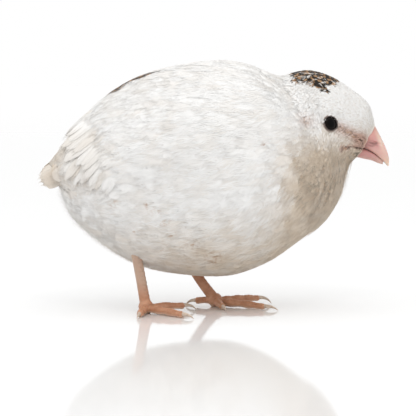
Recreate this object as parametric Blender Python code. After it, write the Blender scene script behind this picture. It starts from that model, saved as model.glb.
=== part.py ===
"""A life-size white coturnix quail, standing with its head held low and its feet one before the other.

The frame is in metres: +X to the bill, +Y to the bird's left, +Z up, with the origin on the ground under
the middle of the bird. Sizes below are in millimetres. The body, neck and head are one lofted form, parted
by thin cuts at section planes. Wings and tail carry overlapping vanes. Each toe and claw is its own piece.
"""

import math

import bmesh
import bpy
import numpy as np

MM = 0.001  # metres in a millimetre
GAP = 0.3  # clearance between neighbouring pieces
SKIN_GAP = 0.42  # growth of the body where it cuts a piece that rests on it, so that facets stay clear

# Body sections from tail to bill. Each lies in a plane across the bird, through a point on the back and one
# on the belly: back x, back z, belly x, belly z, half width above the middle, half width below the middle.
BODY_SECTIONS = np.array((
    (-59.0, 57.0, -58.6, 47.6, 4.8, 5.2),
    (-55.6, 61.4, -56.0, 43.8, 10.0, 11.0),
    (-49.5, 69.9, -52.0, 34.6, 16.6, 18.4),
    (-39.5, 79.6, -43.0, 25.7, 23.4, 26.0),
    (-26.0, 87.2, -27.5, 16.3, 28.6, 31.8),
    (-12.0, 90.9, -10.5, 12.6, 31.0, 34.6),
    (2.0, 92.6, 6.5, 12.4, 31.0, 35.0),
    (12.5, 91.2, 20.4, 17.3, 28.8, 32.8),
    (19.0, 88.6, 31.6, 24.9, 25.2, 29.2),
    (23.0, 86.9, 41.2, 32.8, 21.4, 24.8),
    (25.6, 86.7, 46.9, 42.0, 17.8, 20.2),
    (29.5, 87.7, 48.5, 49.5, 14.2, 15.6),
    (36.0, 88.5, 49.9, 53.3, 11.4, 12.6),
    (44.0, 86.0, 51.2, 55.0, 9.6, 10.2),
    (51.5, 81.2, 52.2, 55.8, 8.0, 8.3),
    (57.4, 76.0, 52.7, 56.1, 6.4, 6.6),
    (59.8, 68.0, 53.2, 56.3, 3.9, 4.5),
))
TAIL_CUT = 1.5  # section numbers at which the lofted body is parted
NECK_CUT = 8.3
HEAD_CUT = 10.35
BILL_CUT = float(len(BODY_SECTIONS) - 1)
CUT_HALF = 0.16  # half the cut, along the back and belly, so that the two faces stand a gap apart
EDGE_SHARE = 0.03  # keeps the body's side from closing fully towards its outline, for what lies on it

EYE_X, EYE_Z = 42.8, 69.5
EYE_RADIUS = 4.0
EYE_PROUD = 0.35  # how far the front of the eye stands out of the face
LID_RADIUS, LID_THICK, LID_SUNK = 2.85, 0.55, 0.05
EYE_GRID = (14, 9)  # points around and rings of an eye and of its socket

# Bill sections from base to tip. Upper bill: culmen x, z and tomium x, z, and half width at the tomium.
UPPER_BILL = np.array((
    (59.9, 67.6, 55.4, 59.5, 4.2),
    (61.4, 64.8, 57.4, 58.7, 3.8),
    (63.0, 61.6, 59.5, 57.5, 3.1),
    (64.3, 58.5, 61.4, 56.0, 2.25),
    (65.0, 55.6, 63.1, 54.6, 1.2),
    (64.9, 53.3, 64.6, 53.0, 0.3),
))
# Lower bill: tomium x, z and lower edge x, z, and half width at the tomium.
LOWER_BILL = np.array((
    (55.1, 59.3, 53.4, 56.3, 3.9),
    (57.1, 58.5, 56.0, 55.7, 3.4),
    (59.2, 57.3, 58.4, 55.2, 2.7),
    (61.1, 55.8, 60.9, 54.2, 1.7),
    (62.5, 54.6, 62.5, 53.8, 0.5),
))
NOSTRIL_FLAP = (57.5, 3.0, 63.3)  # middle of the soft flap over the right and left nostril, y mirrored
NOSTRIL_FLAP_SIZE = (2.5, 1.35, 1.75)
NOSTRIL_ROOM = 0.35  # clearance of the face round the flap
NOSTRIL_SLIT_SIZE = (1.7, 0.6, 0.28)
NOSTRIL_SLIT_SHIFT = (1.2, 0.75, -1.45)  # from the flap's middle: forward, outward, up
RIDGE_WIDTH = 0.62  # width of a bill section near its ridge, as a share of its width at the tomium
BILL_FULLNESS = 0.8  # power of the sine across a bill section; less is squarer
GAPE = ((45.2, 60.2), (49.0, 60.6), (53.0, 60.0), (57.0, 58.8))  # line of the mouth behind the bill
GAPE_OPEN = 0.28  # half height of the slit between the jaws
GAPE_HALF_WIDE = 12.0  # half width of the cutter, wider than the face

# Rings and points around of each stretch of the loft.
GRIDS = {"torso": (22, 34), "neck": (8, 32), "head": (16, 26), "tail": (7, 24), "leg cutter": (20, 28),
         "tail cutter": (10, 28)}
LEG_CUTTER_SPAN = (2.0, 8.0)  # section numbers of the stretch that cuts the legs
TAIL_CUTTER_END = 3.5  # section number at which the stretch that cuts the tail feathers ends
TAIL_CUTTER_STEP = 0.002  # keeps that stretch's face off the tail's own
TAIL_CUTTER_GROW = 4.0

GROUND = 0.0
BALL_HEIGHT = 2.4
BALL_RADIUS = 3.0
# For each leg: joint inside the body, middle of the shank and ball of the foot.
SHANKS = {
    "right": ((-29.0, -14.5, 27.0), (-26.9, -13.4, 15.5), (-24.6, -13.0, BALL_HEIGHT)),
    "left": ((-14.5, 8.0, 27.0), (-6.2, 7.2, 12.0), (0.8, 6.4, BALL_HEIGHT)),
}
SHANK_DEEP, SHANK_WIDE = 2.05, 1.7  # half sizes fore and aft, and across
SHANK_RINGS = 11
FOOT_CUTTER = (9.0, 8.0)  # half width and depth of the block that trims the ball at the ground
# For each toe: heading in degrees from +X to +Y, length without claw, height of the last joint's middle.
TOES = {
    "right": {"hind": (100.0, 7.0, 1.9), "inner": (24.0, 15.4, 1.9), "middle": (-45.0, 19.6, 1.15),
              "outer": (-99.0, 12.6, 1.15)},
    "left": {"hind": (170.0, 7.6, 1.9), "inner": (-76.0, 11.6, 1.15), "middle": (-30.0, 21.4, 1.15),
             "outer": (16.0, 17.4, 2.5)},
}
TOE_RADIUS = 1.4
TOE_ROOT_RADIUS = 1.05  # narrow beside the ball, so that neighbouring toes stay apart
TOE_ROOT_LENGTH = 1.8
TOE_FIRST, TOE_TAPER = 1.12, 0.3  # radius at the ball and its loss to the end, as shares of the radius
TOE_SWELL, TOE_ARCH = 0.09, 0.35
TOE_HEIGHT_POWER = 0.7  # how soon a toe comes down to the height of its last joint
TOE_START = 0.7  # where a toe's line starts, as a share of the ball's radius
TOE_START_HEIGHT = {"hind": 2.1, "inner": 1.75, "middle": 1.75, "outer": 1.75}
TOE_RINGS = {"hind": 7, "inner": 11, "middle": 11, "outer": 11}
TOE_END = 0.74  # the last ring's share of its radius
TOE_PADS = {"hind": 1, "inner": 2, "middle": 3, "outer": 4}
CLAW_LENGTH = {"hind": 3.4, "inner": 4.4, "middle": 5.0, "outer": 4.4}
CLAW_RADIUS = 0.78
CLAW_RINGS = 7
CLAW_RAISED = 0.2  # claw's root above the middle of the toe's end
CLAW_TIP_HEIGHT = 0.15
CLAW_BEND = 1.25  # angle in radians of the sine that carries a claw forward
CLAW_ARCH = 0.25
CLAW_TAPER, CLAW_TAPER_POWER, CLAW_FLAT = 0.86, 1.2, 0.85

# The folded wing lies on the body's side, from the shoulder to the wing tip.
SHOULDER = (12.5, 74.0)
WING_TIP = (-58.0, 50.5)
WING_HALF_HEIGHT = 15.5
WING_THICK = 2.6
WING_WIDEST = 0.36  # share of the wing's length at its greatest height
WING_BLUNT = 3.2  # power of the curve that closes the wing towards its tip
WING_CLEAR = 0.5  # how far the wing's inner face lies off the body
WING_RIM = 0.3  # least cover of the core over its inner face
WING_FRONT = 0.2  # share of the length over which the core grows to its full thickness
WING_THINNING = 0.35  # loss of thickness from the front end to the tip
CORE_START, CORE_END = 0.012, 0.82  # shares of the wing's length
CORE_INNER = 0.97  # width of the core's inner face, as a share of its height
CORE_FADE = 0.1  # half the share of the length over which the cover falls away behind the core
COVER_BEYOND = 0.9  # cover behind the core
CORE_GRID = (13, 9, 7)  # rings, points on the outer face and points on the inner face

# Tiers of wing feathers: how many, place of the lowest and highest root in the side view, slope below the
# level of the lowest and highest, how far each bends down, shortest and longest, half width, rise at the tip.
WING_TIERS = (
    (4, (4.0, 62.5), (2.0, 78.5), (12.0, 18.0), 4.0, (13.0, 13.0), 3.2, 1.1),
    (5, (-5.0, 57.0), (-9.0, 78.5), (14.0, 20.0), 4.0, (14.5, 14.5), 3.4, 1.1),
    (5, (-14.5, 53.5), (-19.5, 75.5), (16.0, 24.0), 5.0, (15.5, 15.5), 3.6, 1.1),
    (6, (-24.0, 50.5), (-29.0, 72.5), (19.0, 30.0), 8.0, (17.5, 16.0), 3.2, 1.2),
    (5, (-33.0, 56.5), (-40.5, 64.5), (45.0, 44.0), 20.0, (16.5, 23.5), 2.3, 0.9),
    (4, (-34.5, 66.5), (-35.0, 74.0), (35.0, 28.0), 12.0, (20.5, 24.0), 2.4, 2.0),
)
VANE_THICK = 0.55
VANE_GAP = 0.34
VANE_SUNK = 0.3  # how far a vane's root lies under the surface it grows from
VANE_EMERGES = (0.22, 0.45)  # share of its length at which a vane leaves the core, and over which it rises
VANE_LEAST = 0.1  # least height of a vane's underside over the core's inner face
VANE_STEP, VANE_STEPS = 0.05, 8  # low vanes are set apart by this much, in turn
VANE_LEAN = 10.0  # degrees by which the line of roots leans from the upright
VANE_STATIONS = np.array((0.0, 0.3, 0.62, 0.87, 1.0))
VANE_WIDTHS = np.array((0.62, 0.95, 1.0, 0.78, 0.3))  # half width at each station, as a share

# Tail feathers, then the coverts over them: how many on each side, root of the innermost as x, y, z, its step
# out and down to the next, pitch and its step, yaw and its step, roll and its step, length and its step, half
# width. Angles are in degrees.
TAIL_TIERS = (
    (5, (-54.6, 1.1, 57.8), (1.5, 1.5), (19.0, 9.0), (3.0, 2.5), (18.0, 13.0), (11.8, -0.6), 3.1),
    (3, (-54.5, 1.2, 61.3), (2.3, 1.9), (36.0, 4.0), (4.0, 4.0), (14.0, 15.0), (8.4, -0.5), 2.6),
)
TAIL_LEFT_DROP = 0.25  # left feathers lie this much lower than right ones, so that they overlap
TAIL_DROOP, TAIL_CAMBER = 0.09, 0.12  # as shares of length and half width

WHITE = (0.86, 0.85, 0.82)
CREAM = (0.80, 0.77, 0.71)
BILL_PINK = (0.72, 0.44, 0.41)
SHANK_PINK = (0.62, 0.42, 0.33)
HORN = (0.66, 0.55, 0.45)
EYE_BLACK = (0.010, 0.010, 0.012)


def material(name, colour, roughness):
    made = bpy.data.materials.get(name) or bpy.data.materials.new(name)
    made.use_nodes = True
    shader = made.node_tree.nodes["Principled BSDF"]
    shader.inputs["Base Color"].default_value = (*colour, 1.0)
    shader.inputs["Roughness"].default_value = roughness
    shader.inputs["Metallic"].default_value = 0.0
    return made


def make_object(name, points, faces, finish):
    """A closed mesh object from points in millimetres."""
    mesh = bpy.data.meshes.new(name)
    mesh.from_pydata([tuple(p) for p in np.asarray(points, float) * MM], [], [tuple(f) for f in faces])
    work = bmesh.new()
    work.from_mesh(mesh)
    bmesh.ops.remove_doubles(work, verts=work.verts, dist=0.005 * MM)
    bmesh.ops.recalc_face_normals(work, faces=work.faces)
    if work.calc_volume(signed=True) < 0:
        bmesh.ops.reverse_faces(work, faces=work.faces)
    work.to_mesh(mesh)
    work.free()
    made = bpy.data.objects.new(name, mesh)
    bpy.context.scene.collection.objects.link(made)
    mesh.materials.append(finish)
    mesh.shade_smooth()
    return made


def loft_faces(rings, around):
    """Faces of a tube of rings with both ends closed."""
    faces = []
    for r in range(rings - 1):
        for a in range(around):
            b = (a + 1) % around
            faces.append((r * around + a, r * around + b, (r + 1) * around + b, (r + 1) * around + a))
    faces.append(tuple(range(around))[::-1])
    faces.append(tuple(range((rings - 1) * around, rings * around)))
    return faces


def smooth_rows(table, at):
    """Rows read between a table's rows on a Catmull-Rom curve; at counts rows from 0."""
    at = np.atleast_1d(np.asarray(at, float))
    last = len(table) - 1
    left = np.clip(np.floor(at).astype(int), 0, last - 1)
    s = (at - left)[:, None]
    padded = np.vstack((2 * table[0] - table[1], table, 2 * table[-1] - table[-2]))
    p0, p1, p2, p3 = (padded[left + k] for k in range(4))
    return 0.5 * (2 * p1 + (p2 - p0) * s + (2 * p0 - 5 * p1 + 4 * p2 - p3) * s ** 2
                  + (3 * p1 - p0 - 3 * p2 + p3) * s ** 3)


def mixed_width(high, low, down):
    """Half width at a share of the way down a section: high near the back, low near the belly."""
    blend = down * down * (3 - 2 * down)
    return high + (low - high) * blend


def body_section(at, angles, grow=0.0):
    """Points of the body's section: down the plane by half a cosine, and out to each side by a sine."""
    row = smooth_rows(BODY_SECTIONS, at)[0]
    back, belly = row[0:2], row[2:4]
    along = (belly - back) / np.linalg.norm(belly - back)
    back, belly = back - along * grow, belly + along * grow
    down = (1 - np.cos(angles)) / 2
    place = back + (belly - back) * down[:, None]
    half = mixed_width(row[4] + grow, row[5] + grow, down) * np.sin(angles)
    return np.column_stack((place[:, 0], half, place[:, 1]))


def body_piece(name, first, last, grid, finish, grow=0.0):
    """The lofted body between two section numbers."""
    rings, around = GRIDS[grid]
    angles = np.arange(around) * 2 * math.pi / around
    points = [body_section(u, angles, grow) for u in np.linspace(first, last, rings)]
    return make_object(name, np.vstack(points), loft_faces(rings, around), finish)


def cut_share(at, side):
    """A section number set off from a cut, so that the back's and belly's faces stand a gap apart."""
    step = 0.01
    near, far = smooth_rows(BODY_SECTIONS, (at - step, at + step))
    apart = min(np.linalg.norm((far - near)[0:2]), np.linalg.norm((far - near)[2:4])) / (2 * step)
    return at + side * CUT_HALF / apart


def body_side(x, z):
    """Half width of the body at points of its side view, found by halving the range of section numbers."""
    x, z = np.broadcast_arrays(np.asarray(x, float), np.asarray(z, float))
    low = np.zeros(x.shape)
    high = np.full(x.shape, BILL_CUT)
    for _ in range(26):
        middle = (low + high) / 2
        row = smooth_rows(BODY_SECTIONS, middle.ravel())
        bx, bz, lx, lz = (row[:, k].reshape(x.shape) for k in range(4))
        ahead = (lx - bx) * (z - bz) - (lz - bz) * (x - bx) > 0
        low, high = np.where(ahead, middle, low), np.where(ahead, high, middle)
    length = (lx - bx) ** 2 + (lz - bz) ** 2
    down = ((x - bx) * (lx - bx) + (z - bz) * (lz - bz)) / length
    half = mixed_width(row[:, 4].reshape(x.shape), row[:, 5].reshape(x.shape), np.clip(down, 0, 1))
    return half * 2 * np.sqrt(np.clip(down * (1 - down), EDGE_SHARE, None))


def apply_modifiers(piece):
    graph = bpy.context.evaluated_depsgraph_get()
    mesh = bpy.data.meshes.new_from_object(piece.evaluated_get(graph))
    piece.modifiers.clear()
    piece.data = mesh


def combine(piece, others, operation, solver="EXACT"):
    """One Boolean with a collection of closed meshes, applied, after which the meshes are removed."""
    group = bpy.data.collections.new("joined")
    for other in others:
        bpy.context.scene.collection.objects.unlink(other)
        group.objects.link(other)
    bpy.context.scene.collection.children.link(group)
    step = piece.modifiers.new("combine", "BOOLEAN")
    step.operation = operation
    step.solver = solver
    step.operand_type = "COLLECTION"
    step.collection = group
    apply_modifiers(piece)
    for other in others:
        bpy.data.objects.remove(other)
    bpy.data.collections.remove(group)
    keep_largest(piece)


def keep_largest(piece):
    """Leaves only the closed surface that holds most."""
    work = bmesh.new()
    work.from_mesh(piece.data)
    bmesh.ops.triangulate(work, faces=work.faces)
    work.faces.ensure_lookup_table()
    unseen = set(work.faces)
    groups = []
    while unseen:
        first = unseen.pop()
        group, front = [first], [first]
        while front:
            face = front.pop()
            for edge in face.edges:
                for near in edge.link_faces:
                    if near in unseen:
                        unseen.remove(near)
                        group.append(near)
                        front.append(near)
        volume = sum(f.verts[0].co.dot(f.verts[1].co.cross(f.verts[2].co)) for f in group)
        groups.append((volume, group))
    groups.sort(key=lambda g: g[0])
    doomed = [face for _, group in groups[:-1] for face in group]
    if doomed:
        bmesh.ops.delete(work, geom=doomed, context="FACES")
    work.to_mesh(piece.data)
    work.free()


def ellipsoid(name, centre, sizes, finish, around=12, rings=8):
    """An ellipsoid on its own axes: rings of points spaced evenly by angle."""
    points = [(centre[0], centre[1], centre[2] + sizes[2])]
    for r in range(1, rings):
        tilt = math.pi * r / rings
        for a in range(around):
            turn = 2 * math.pi * a / around
            points.append((centre[0] + sizes[0] * math.sin(tilt) * math.cos(turn),
                           centre[1] + sizes[1] * math.sin(tilt) * math.sin(turn),
                           centre[2] + sizes[2] * math.cos(tilt)))
    points.append((centre[0], centre[1], centre[2] - sizes[2]))
    last = len(points) - 1
    faces = []
    for a in range(around):
        b = (a + 1) % around
        faces.append((0, 1 + a, 1 + b))
        for r in range(rings - 2):
            low, high = 1 + r * around, 1 + (r + 1) * around
            faces.append((low + a, high + a, high + b, low + b))
        faces.append((last, 1 + (rings - 2) * around + b, 1 + (rings - 2) * around + a))
    return make_object(name, points, faces, finish)


def ring_about(name, centre, normal, radius, thick, finish, around=16, section=6):
    """A round ring across a normal, for an eyelid."""
    normal = normal / np.linalg.norm(normal)
    level = np.cross(normal, (0.0, 0.0, 1.0))
    level = level / np.linalg.norm(level)
    up = np.cross(level, normal)
    points = []
    for a in range(around):
        turn = 2 * math.pi * a / around
        out = level * math.cos(turn) + up * math.sin(turn)
        for s in range(section):
            tilt = 2 * math.pi * s / section
            points.append(centre + out * (radius + thick * math.cos(tilt)) + normal * thick * math.sin(tilt))
    faces = []
    for a in range(around):
        for s in range(section):
            b, t = (a + 1) % around, (s + 1) % section
            faces.append((a * section + s, b * section + s, b * section + t, a * section + t))
    return make_object(name, points, faces, finish)


def tube(name, centres, half_sizes, finish, around=10, floor=None):
    """A tube along points, its sections across the path, with half sizes across and upright.

    Where a floor is given, points below it are raised to it, which leaves a small flat to stand on."""
    centres = np.asarray(centres, float)
    paths = np.gradient(centres, axis=0)
    points = []
    for centre, path, (across, upright) in zip(centres, paths, half_sizes):
        path = path / np.linalg.norm(path)
        level = np.cross(path, (0.0, 0.0, 1.0))
        if np.linalg.norm(level) < 0.25:
            level = np.array((0.0, 1.0, 0.0)) - path * path[1]
        level = level / np.linalg.norm(level)
        up = np.cross(level, path)
        for a in range(around):
            turn = 2 * math.pi * (a + 0.5) / around
            points.append(centre + level * across * math.cos(turn) + up * upright * math.sin(turn))
    points = np.array(points)
    if floor is not None:
        points[:, 2] = np.maximum(points[:, 2], floor)
    return make_object(name, points, loft_faces(len(centres), around), finish)


def smooth_path(points, count):
    points = np.asarray(points, float)
    return smooth_rows(points, np.linspace(0, len(points) - 1, count))


def eye_frame(side):
    """The place on the face in front of an eye, and the face's outward normal there."""
    face = on_side(EYE_X, EYE_Z, 0.0, side)
    return face, on_side(EYE_X, EYE_Z, 1.0, side) - face


def build_head(finish):
    """The head with its lids, the sockets of the eyes, and the slit of the mouth."""
    head = body_piece("head", cut_share(HEAD_CUT, 1), BILL_CUT, "head", finish)
    lids, cutters = [], [mouth_slit(finish)]
    for side in (-1, 1):
        face, normal = eye_frame(side)
        lids.append(ring_about("lid", face - normal * LID_SUNK, normal, LID_RADIUS, LID_THICK, finish))
        middle = face + normal * (EYE_PROUD - EYE_RADIUS)
        cutters.append(ellipsoid("socket", middle, [EYE_RADIUS + GAP] * 3, finish, *EYE_GRID))
        room = [s + NOSTRIL_ROOM for s in NOSTRIL_FLAP_SIZE]
        centre = (NOSTRIL_FLAP[0], side * NOSTRIL_FLAP[1], NOSTRIL_FLAP[2])
        cutters.append(ellipsoid("flap room", centre, room, finish))
    combine(head, lids, "UNION")
    combine(head, cutters, "DIFFERENCE")


def mouth_slit(finish):
    """A thin slab along the line of the mouth, as wide as the face."""
    line = smooth_path(GAPE, 9)
    edge = [(x, z + GAPE_OPEN) for x, z in line] + [(x, z - GAPE_OPEN) for x, z in line[::-1]]
    count = len(edge)
    points = [(x, y, z) for y in (-GAPE_HALF_WIDE, GAPE_HALF_WIDE) for x, z in edge]
    faces = [tuple(range(count)), tuple(range(count, 2 * count))[::-1]]
    faces += [(i, i + count, (i + 1) % count + count, (i + 1) % count) for i in range(count)]
    return make_object("slit", points, faces, finish)


def bill_half(name, table, ridge, finish, rings=8, around=14):
    """A bill half: sections from ridge to tomium, broad at the tomium, rounded at the ridge."""
    rows = smooth_rows(table, np.linspace(0, len(table) - 1, rings))
    points = []
    for row in rows:
        narrow, broad = (0, 2) if ridge == "top" else (2, 0)
        keel, edge = row[narrow:narrow + 2], row[broad:broad + 2]
        for a in range(around):
            turn = 2 * math.pi * a / around
            down = (1 - math.cos(turn)) / 2
            wide = row[4] * (RIDGE_WIDTH + (1 - RIDGE_WIDTH) * down)
            half = wide * math.copysign(abs(math.sin(turn)) ** BILL_FULLNESS, math.sin(turn))
            place = keel + (edge - keel) * down
            points.append((place[0], half, place[1]))
    return make_object(name, points, loft_faces(rings, around), finish)


def build_bill(finish):
    upper = bill_half("bill_upper", UPPER_BILL, "top", finish)
    flaps = [ellipsoid("flap", (NOSTRIL_FLAP[0], side * NOSTRIL_FLAP[1], NOSTRIL_FLAP[2]),
                       NOSTRIL_FLAP_SIZE, finish) for side in (-1, 1)]
    combine(upper, flaps, "UNION")
    slits = []
    for side in (-1, 1):
        x, y, z = np.array(NOSTRIL_FLAP) + NOSTRIL_SLIT_SHIFT
        slits.append(ellipsoid("slit", (x, side * y, z), NOSTRIL_SLIT_SIZE, finish, 10, 6))
    combine(upper, slits, "DIFFERENCE")
    bill_half("bill_lower", LOWER_BILL, "bottom", finish)


def build_eyes(finish):
    for name, side in (("eye_right", -1), ("eye_left", 1)):
        face, normal = eye_frame(side)
        ellipsoid(name, face + normal * (EYE_PROUD - EYE_RADIUS), [EYE_RADIUS] * 3, finish, *EYE_GRID)


def on_side(x, z, lift, side):
    """Points of the side view set on the body's side, and lifted off it along its normal."""
    x, z, lift = np.broadcast_arrays(*(np.asarray(v, float) for v in (x, z, lift)))
    step, steepest = 1.0, 1.4
    half = body_side(x, z)
    slope_x = np.clip((body_side(x + step, z) - body_side(x - step, z)) / (2 * step), -steepest, steepest)
    slope_z = np.clip((body_side(x, z + step) - body_side(x, z - step)) / (2 * step), -steepest, steepest)
    size = np.sqrt(1 + slope_x ** 2 + slope_z ** 2)
    raised = lift / size
    return np.stack((x - slope_x * raised, side * (half + raised), z - slope_z * raised), axis=-1)


def wing_axes():
    """The wing's front end, its run to the tip, and the unit vector across it, in the side view."""
    start, end = np.array(SHOULDER), np.array(WING_TIP)
    run = end - start
    return start, run, np.array((run[1], -run[0])) / np.linalg.norm(run)


def wing_place(along, across, lift, side):
    """A point of the folded wing: along its length from 0 to 1, across it in mm, and lifted off the body."""
    start, run, upward = wing_axes()
    along, across = np.broadcast_arrays(np.asarray(along, float), np.asarray(across, float))
    x = start[0] + run[0] * along + upward[0] * across
    z = start[1] + run[1] * along + upward[1] * across
    return on_side(x, z, lift, side)


def wing_half_height(along):
    """Half height of the wing: a quarter ellipse to its widest place, then a blunt curve to the tip."""
    fore = np.clip(1 - along / WING_WIDEST, 0, 1)
    aft = np.clip((along - WING_WIDEST) / (1 - WING_WIDEST), 0, 1)
    return WING_HALF_HEIGHT * np.where(along < WING_WIDEST, np.sqrt(1 - fore ** 2), 1 - aft ** WING_BLUNT)


def wing_cover(along, share):
    """How far the core's outer face lies off the body, at a share of its half height from -1 to 1."""
    grown = np.minimum(1.0, np.sqrt(np.clip(along, 0, 1) / WING_FRONT))
    thick = WING_THICK * grown * (1 - WING_THINNING * along)
    return WING_CLEAR + WING_RIM + thick * np.sqrt(np.clip(1 - np.asarray(share) ** 2, 0, 1))


def wing_cover_at(x, z):
    """The core's cover at points of the side view, or the least cover beyond its rim."""
    start, run, upward = wing_axes()
    along = ((x - start[0]) * run[0] + (z - start[1]) * run[1]) / (run @ run)
    across = (x - start[0]) * upward[0] + (z - start[1]) * upward[1]
    beyond = np.clip((along - CORE_END + CORE_FADE) / (2 * CORE_FADE), 0, 1)
    half = np.clip(wing_half_height(np.clip(along, 0.02, 0.97)), 2.0, None)
    cover = wing_cover(np.clip(along, 0, 1), np.clip(across / half, -1, 1))
    return cover + (WING_CLEAR + COVER_BEYOND - cover) * beyond * beyond * (3 - 2 * beyond)


def wing_core(name, side, finish):
    """The wing's core: an arch over each stretch of its length, its inner face clear of the body."""
    rings, out, back = CORE_GRID
    points = []
    for along in np.linspace(CORE_START, CORE_END, rings):
        half = float(wing_half_height(along))
        share = np.cos(np.linspace(0, math.pi, out))
        outer = wing_place(along, half * share, wing_cover(along, share), side)
        inner = wing_place(along, half * np.linspace(-CORE_INNER, CORE_INNER, back), WING_CLEAR, side)
        points.append(np.vstack((outer, inner)))
    return make_object(name, np.vstack(points), loft_faces(rings, out + back), finish)


def plate(name, top, bottom, finish):
    """A thin plate between two grids of points, split into triangles alike on both faces."""
    rows, columns = top.shape[:2]
    count = rows * columns
    faces = []
    for r in range(rows - 1):
        for c in range(columns - 1):
            p, q = r * columns + c, (r + 1) * columns + c
            for a, b, d in ((p, q, q + 1), (p, q + 1, p + 1)):
                faces += [(a, b, d), (a + count, d + count, b + count)]
    rim = [r * columns for r in range(rows)] + [(rows - 1) * columns + c for c in range(1, columns)]
    rim += [r * columns + columns - 1 for r in range(rows - 2, -1, -1)] + list(range(columns - 2, 0, -1))
    for a, b in zip(rim, rim[1:] + rim[:1]):
        faces.append((a, a + count, b + count))
        faces.append((a, b + count, b))
    return make_object(name, np.vstack((top.reshape(-1, 3), bottom.reshape(-1, 3))), faces, finish)


def wing_vane(side, finish, root, slope, bend, length, half, rise, step, order):
    """One wing feather: a plate that follows the wing's side back and down, its lower edge over its neighbour.

    Its root is sunk in the core over the first quarter; then it rises off the cover towards its tip. The order
    sets vanes that lie low a little apart, so that no two share a face."""
    t = VANE_STATIONS
    angle = np.radians(slope + bend * t)
    path = length * np.diff(t, prepend=0)
    middle = (angle + np.roll(angle, 1)) / 2
    x = root[0] - np.cumsum(path * np.cos(middle))
    z = root[1] - np.cumsum(path * np.sin(middle))
    across = np.array((1.0, 0.0, -1.0))
    wide = (half * VANE_WIDTHS)[:, None] * across
    px = x[:, None] - np.sin(angle)[:, None] * wide
    pz = z[:, None] + np.cos(angle)[:, None] * wide
    emerge = np.clip((t - VANE_EMERGES[0]) / VANE_EMERGES[1], 0, 1)
    tilt = (VANE_THICK + VANE_GAP) * half / step
    lift = -VANE_SUNK + (rise + VANE_SUNK) * emerge[:, None] - tilt * across * emerge[:, None]
    lowest = WING_CLEAR + VANE_THICK + VANE_LEAST + VANE_STEP * (order % VANE_STEPS)
    lift = np.maximum(wing_cover_at(px, pz) + lift, lowest)
    return plate("vane", on_side(px, pz, lift, side), on_side(px, pz, lift - VANE_THICK, side), finish)


def build_wing(name, side, finish):
    """The folded wing: its core and, joined to it, tiers of feathers from the shoulder to the wing tip."""
    wing = wing_core(name, side, finish)
    vanes = []
    for count, low, high, slopes, bend, lengths, half, rise in WING_TIERS:
        step = math.dist(low, high) / (count - 1) * math.cos(math.radians(sum(slopes) / 2 - VANE_LEAN))
        for share in np.linspace(0, 1, count):
            root = np.array(low) + (np.array(high) - np.array(low)) * share
            slope = slopes[0] + (slopes[1] - slopes[0]) * share
            length = lengths[0] + (lengths[1] - lengths[0]) * share
            vanes.append(wing_vane(side, finish, root, slope, bend, length, half, rise, step, len(vanes)))
    combine(wing, vanes, "UNION", "MANIFOLD")


def tail_vane(finish, root, pitch, yaw, roll, length, half):
    """One tail feather: a plate from its root back and down, spread by its yaw and rolled over like a roof."""
    pitch, yaw, roll = (math.radians(v) for v in (pitch, yaw, roll))
    flat = math.cos(pitch)
    way = np.array((-flat * math.cos(yaw), flat * math.sin(yaw), -math.sin(pitch)))
    level = np.cross(way, (0.0, 0.0, 1.0))
    level = level / np.linalg.norm(level)
    up = np.cross(level, way)
    across = level * math.cos(roll) + up * math.sin(roll)
    normal = np.cross(across, way)
    normal = normal * (1 if normal[2] > 0 else -1)
    t = VANE_STATIONS
    wide = (half * VANE_WIDTHS)[:, None] * np.array((1.0, 0.0, -1.0))
    droop = -TAIL_DROOP * length * t ** 2
    camber = -TAIL_CAMBER * half * (wide / half) ** 2
    centre = np.asarray(root) + way * (length * t)[:, None] + normal * droop[:, None]
    top = centre[:, None, :] + across * wide[..., None] + normal * camber[..., None]
    return plate("vane", top, top - normal * VANE_THICK, finish)


def build_tail(finish, ahead):
    """The stub of the body under the tail, with its fan of tail feathers and the coverts over them."""
    tail = body_piece("tail", 0.0, cut_share(TAIL_CUT, -1), "tail", finish)
    vanes = []
    for count, root, step, pitch, yaw, roll, length, half in TAIL_TIERS:
        for place in range(count):
            for side in (-1, 1):
                start = (root[0], side * (root[1] + step[0] * place),
                         root[2] - step[1] * place - TAIL_LEFT_DROP * (side > 0))
                angles = (pitch[0] + pitch[1] * place, side * (yaw[0] + yaw[1] * place),
                          -side * (roll[0] + roll[1] * place))
                vanes.append(tail_vane(finish, start, *angles, length[0] + length[1] * place, half))
    combine(tail, vanes, "UNION", "MANIFOLD")
    combine(tail, [ahead], "DIFFERENCE", "MANIFOLD")


def shank_parts(name, foot, finish, grow=0.0):
    """The bare shank from inside the body down, and the ball of the foot, grown to serve as a cutter."""
    joints = SHANKS[foot]
    path = smooth_path(joints, SHANK_RINGS)
    shank = tube(name, path, [(SHANK_WIDE + grow, SHANK_DEEP + grow)] * SHANK_RINGS, finish, 12)
    radius = BALL_RADIUS + grow
    ball = ellipsoid("ball", (*joints[2][:2], BALL_HEIGHT), (radius, radius, radius), finish, 14, 8)
    return shank, ball


def build_shank(foot, finish, body):
    """The shank and ball of the foot, cut where they meet the body and the ground."""
    shank, ball = shank_parts(f"shank_{foot}", foot, finish)
    combine(shank, [ball], "UNION")
    x, y = SHANKS[foot][2][:2]
    wide, deep = FOOT_CUTTER
    low = box("below", (x - wide, y - wide, GROUND - deep), (x + wide, y + wide, GROUND), finish)
    combine(shank, [body, low], "DIFFERENCE")


def box(name, low, high, finish):
    points = [(x, y, z) for x in (low[0], high[0]) for y in (low[1], high[1]) for z in (low[2], high[2])]
    faces = [(0, 1, 3, 2), (4, 6, 7, 5), (0, 4, 5, 1), (2, 3, 7, 6), (0, 2, 6, 4), (1, 5, 7, 3)]
    return make_object(name, points, faces, finish)


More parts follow.
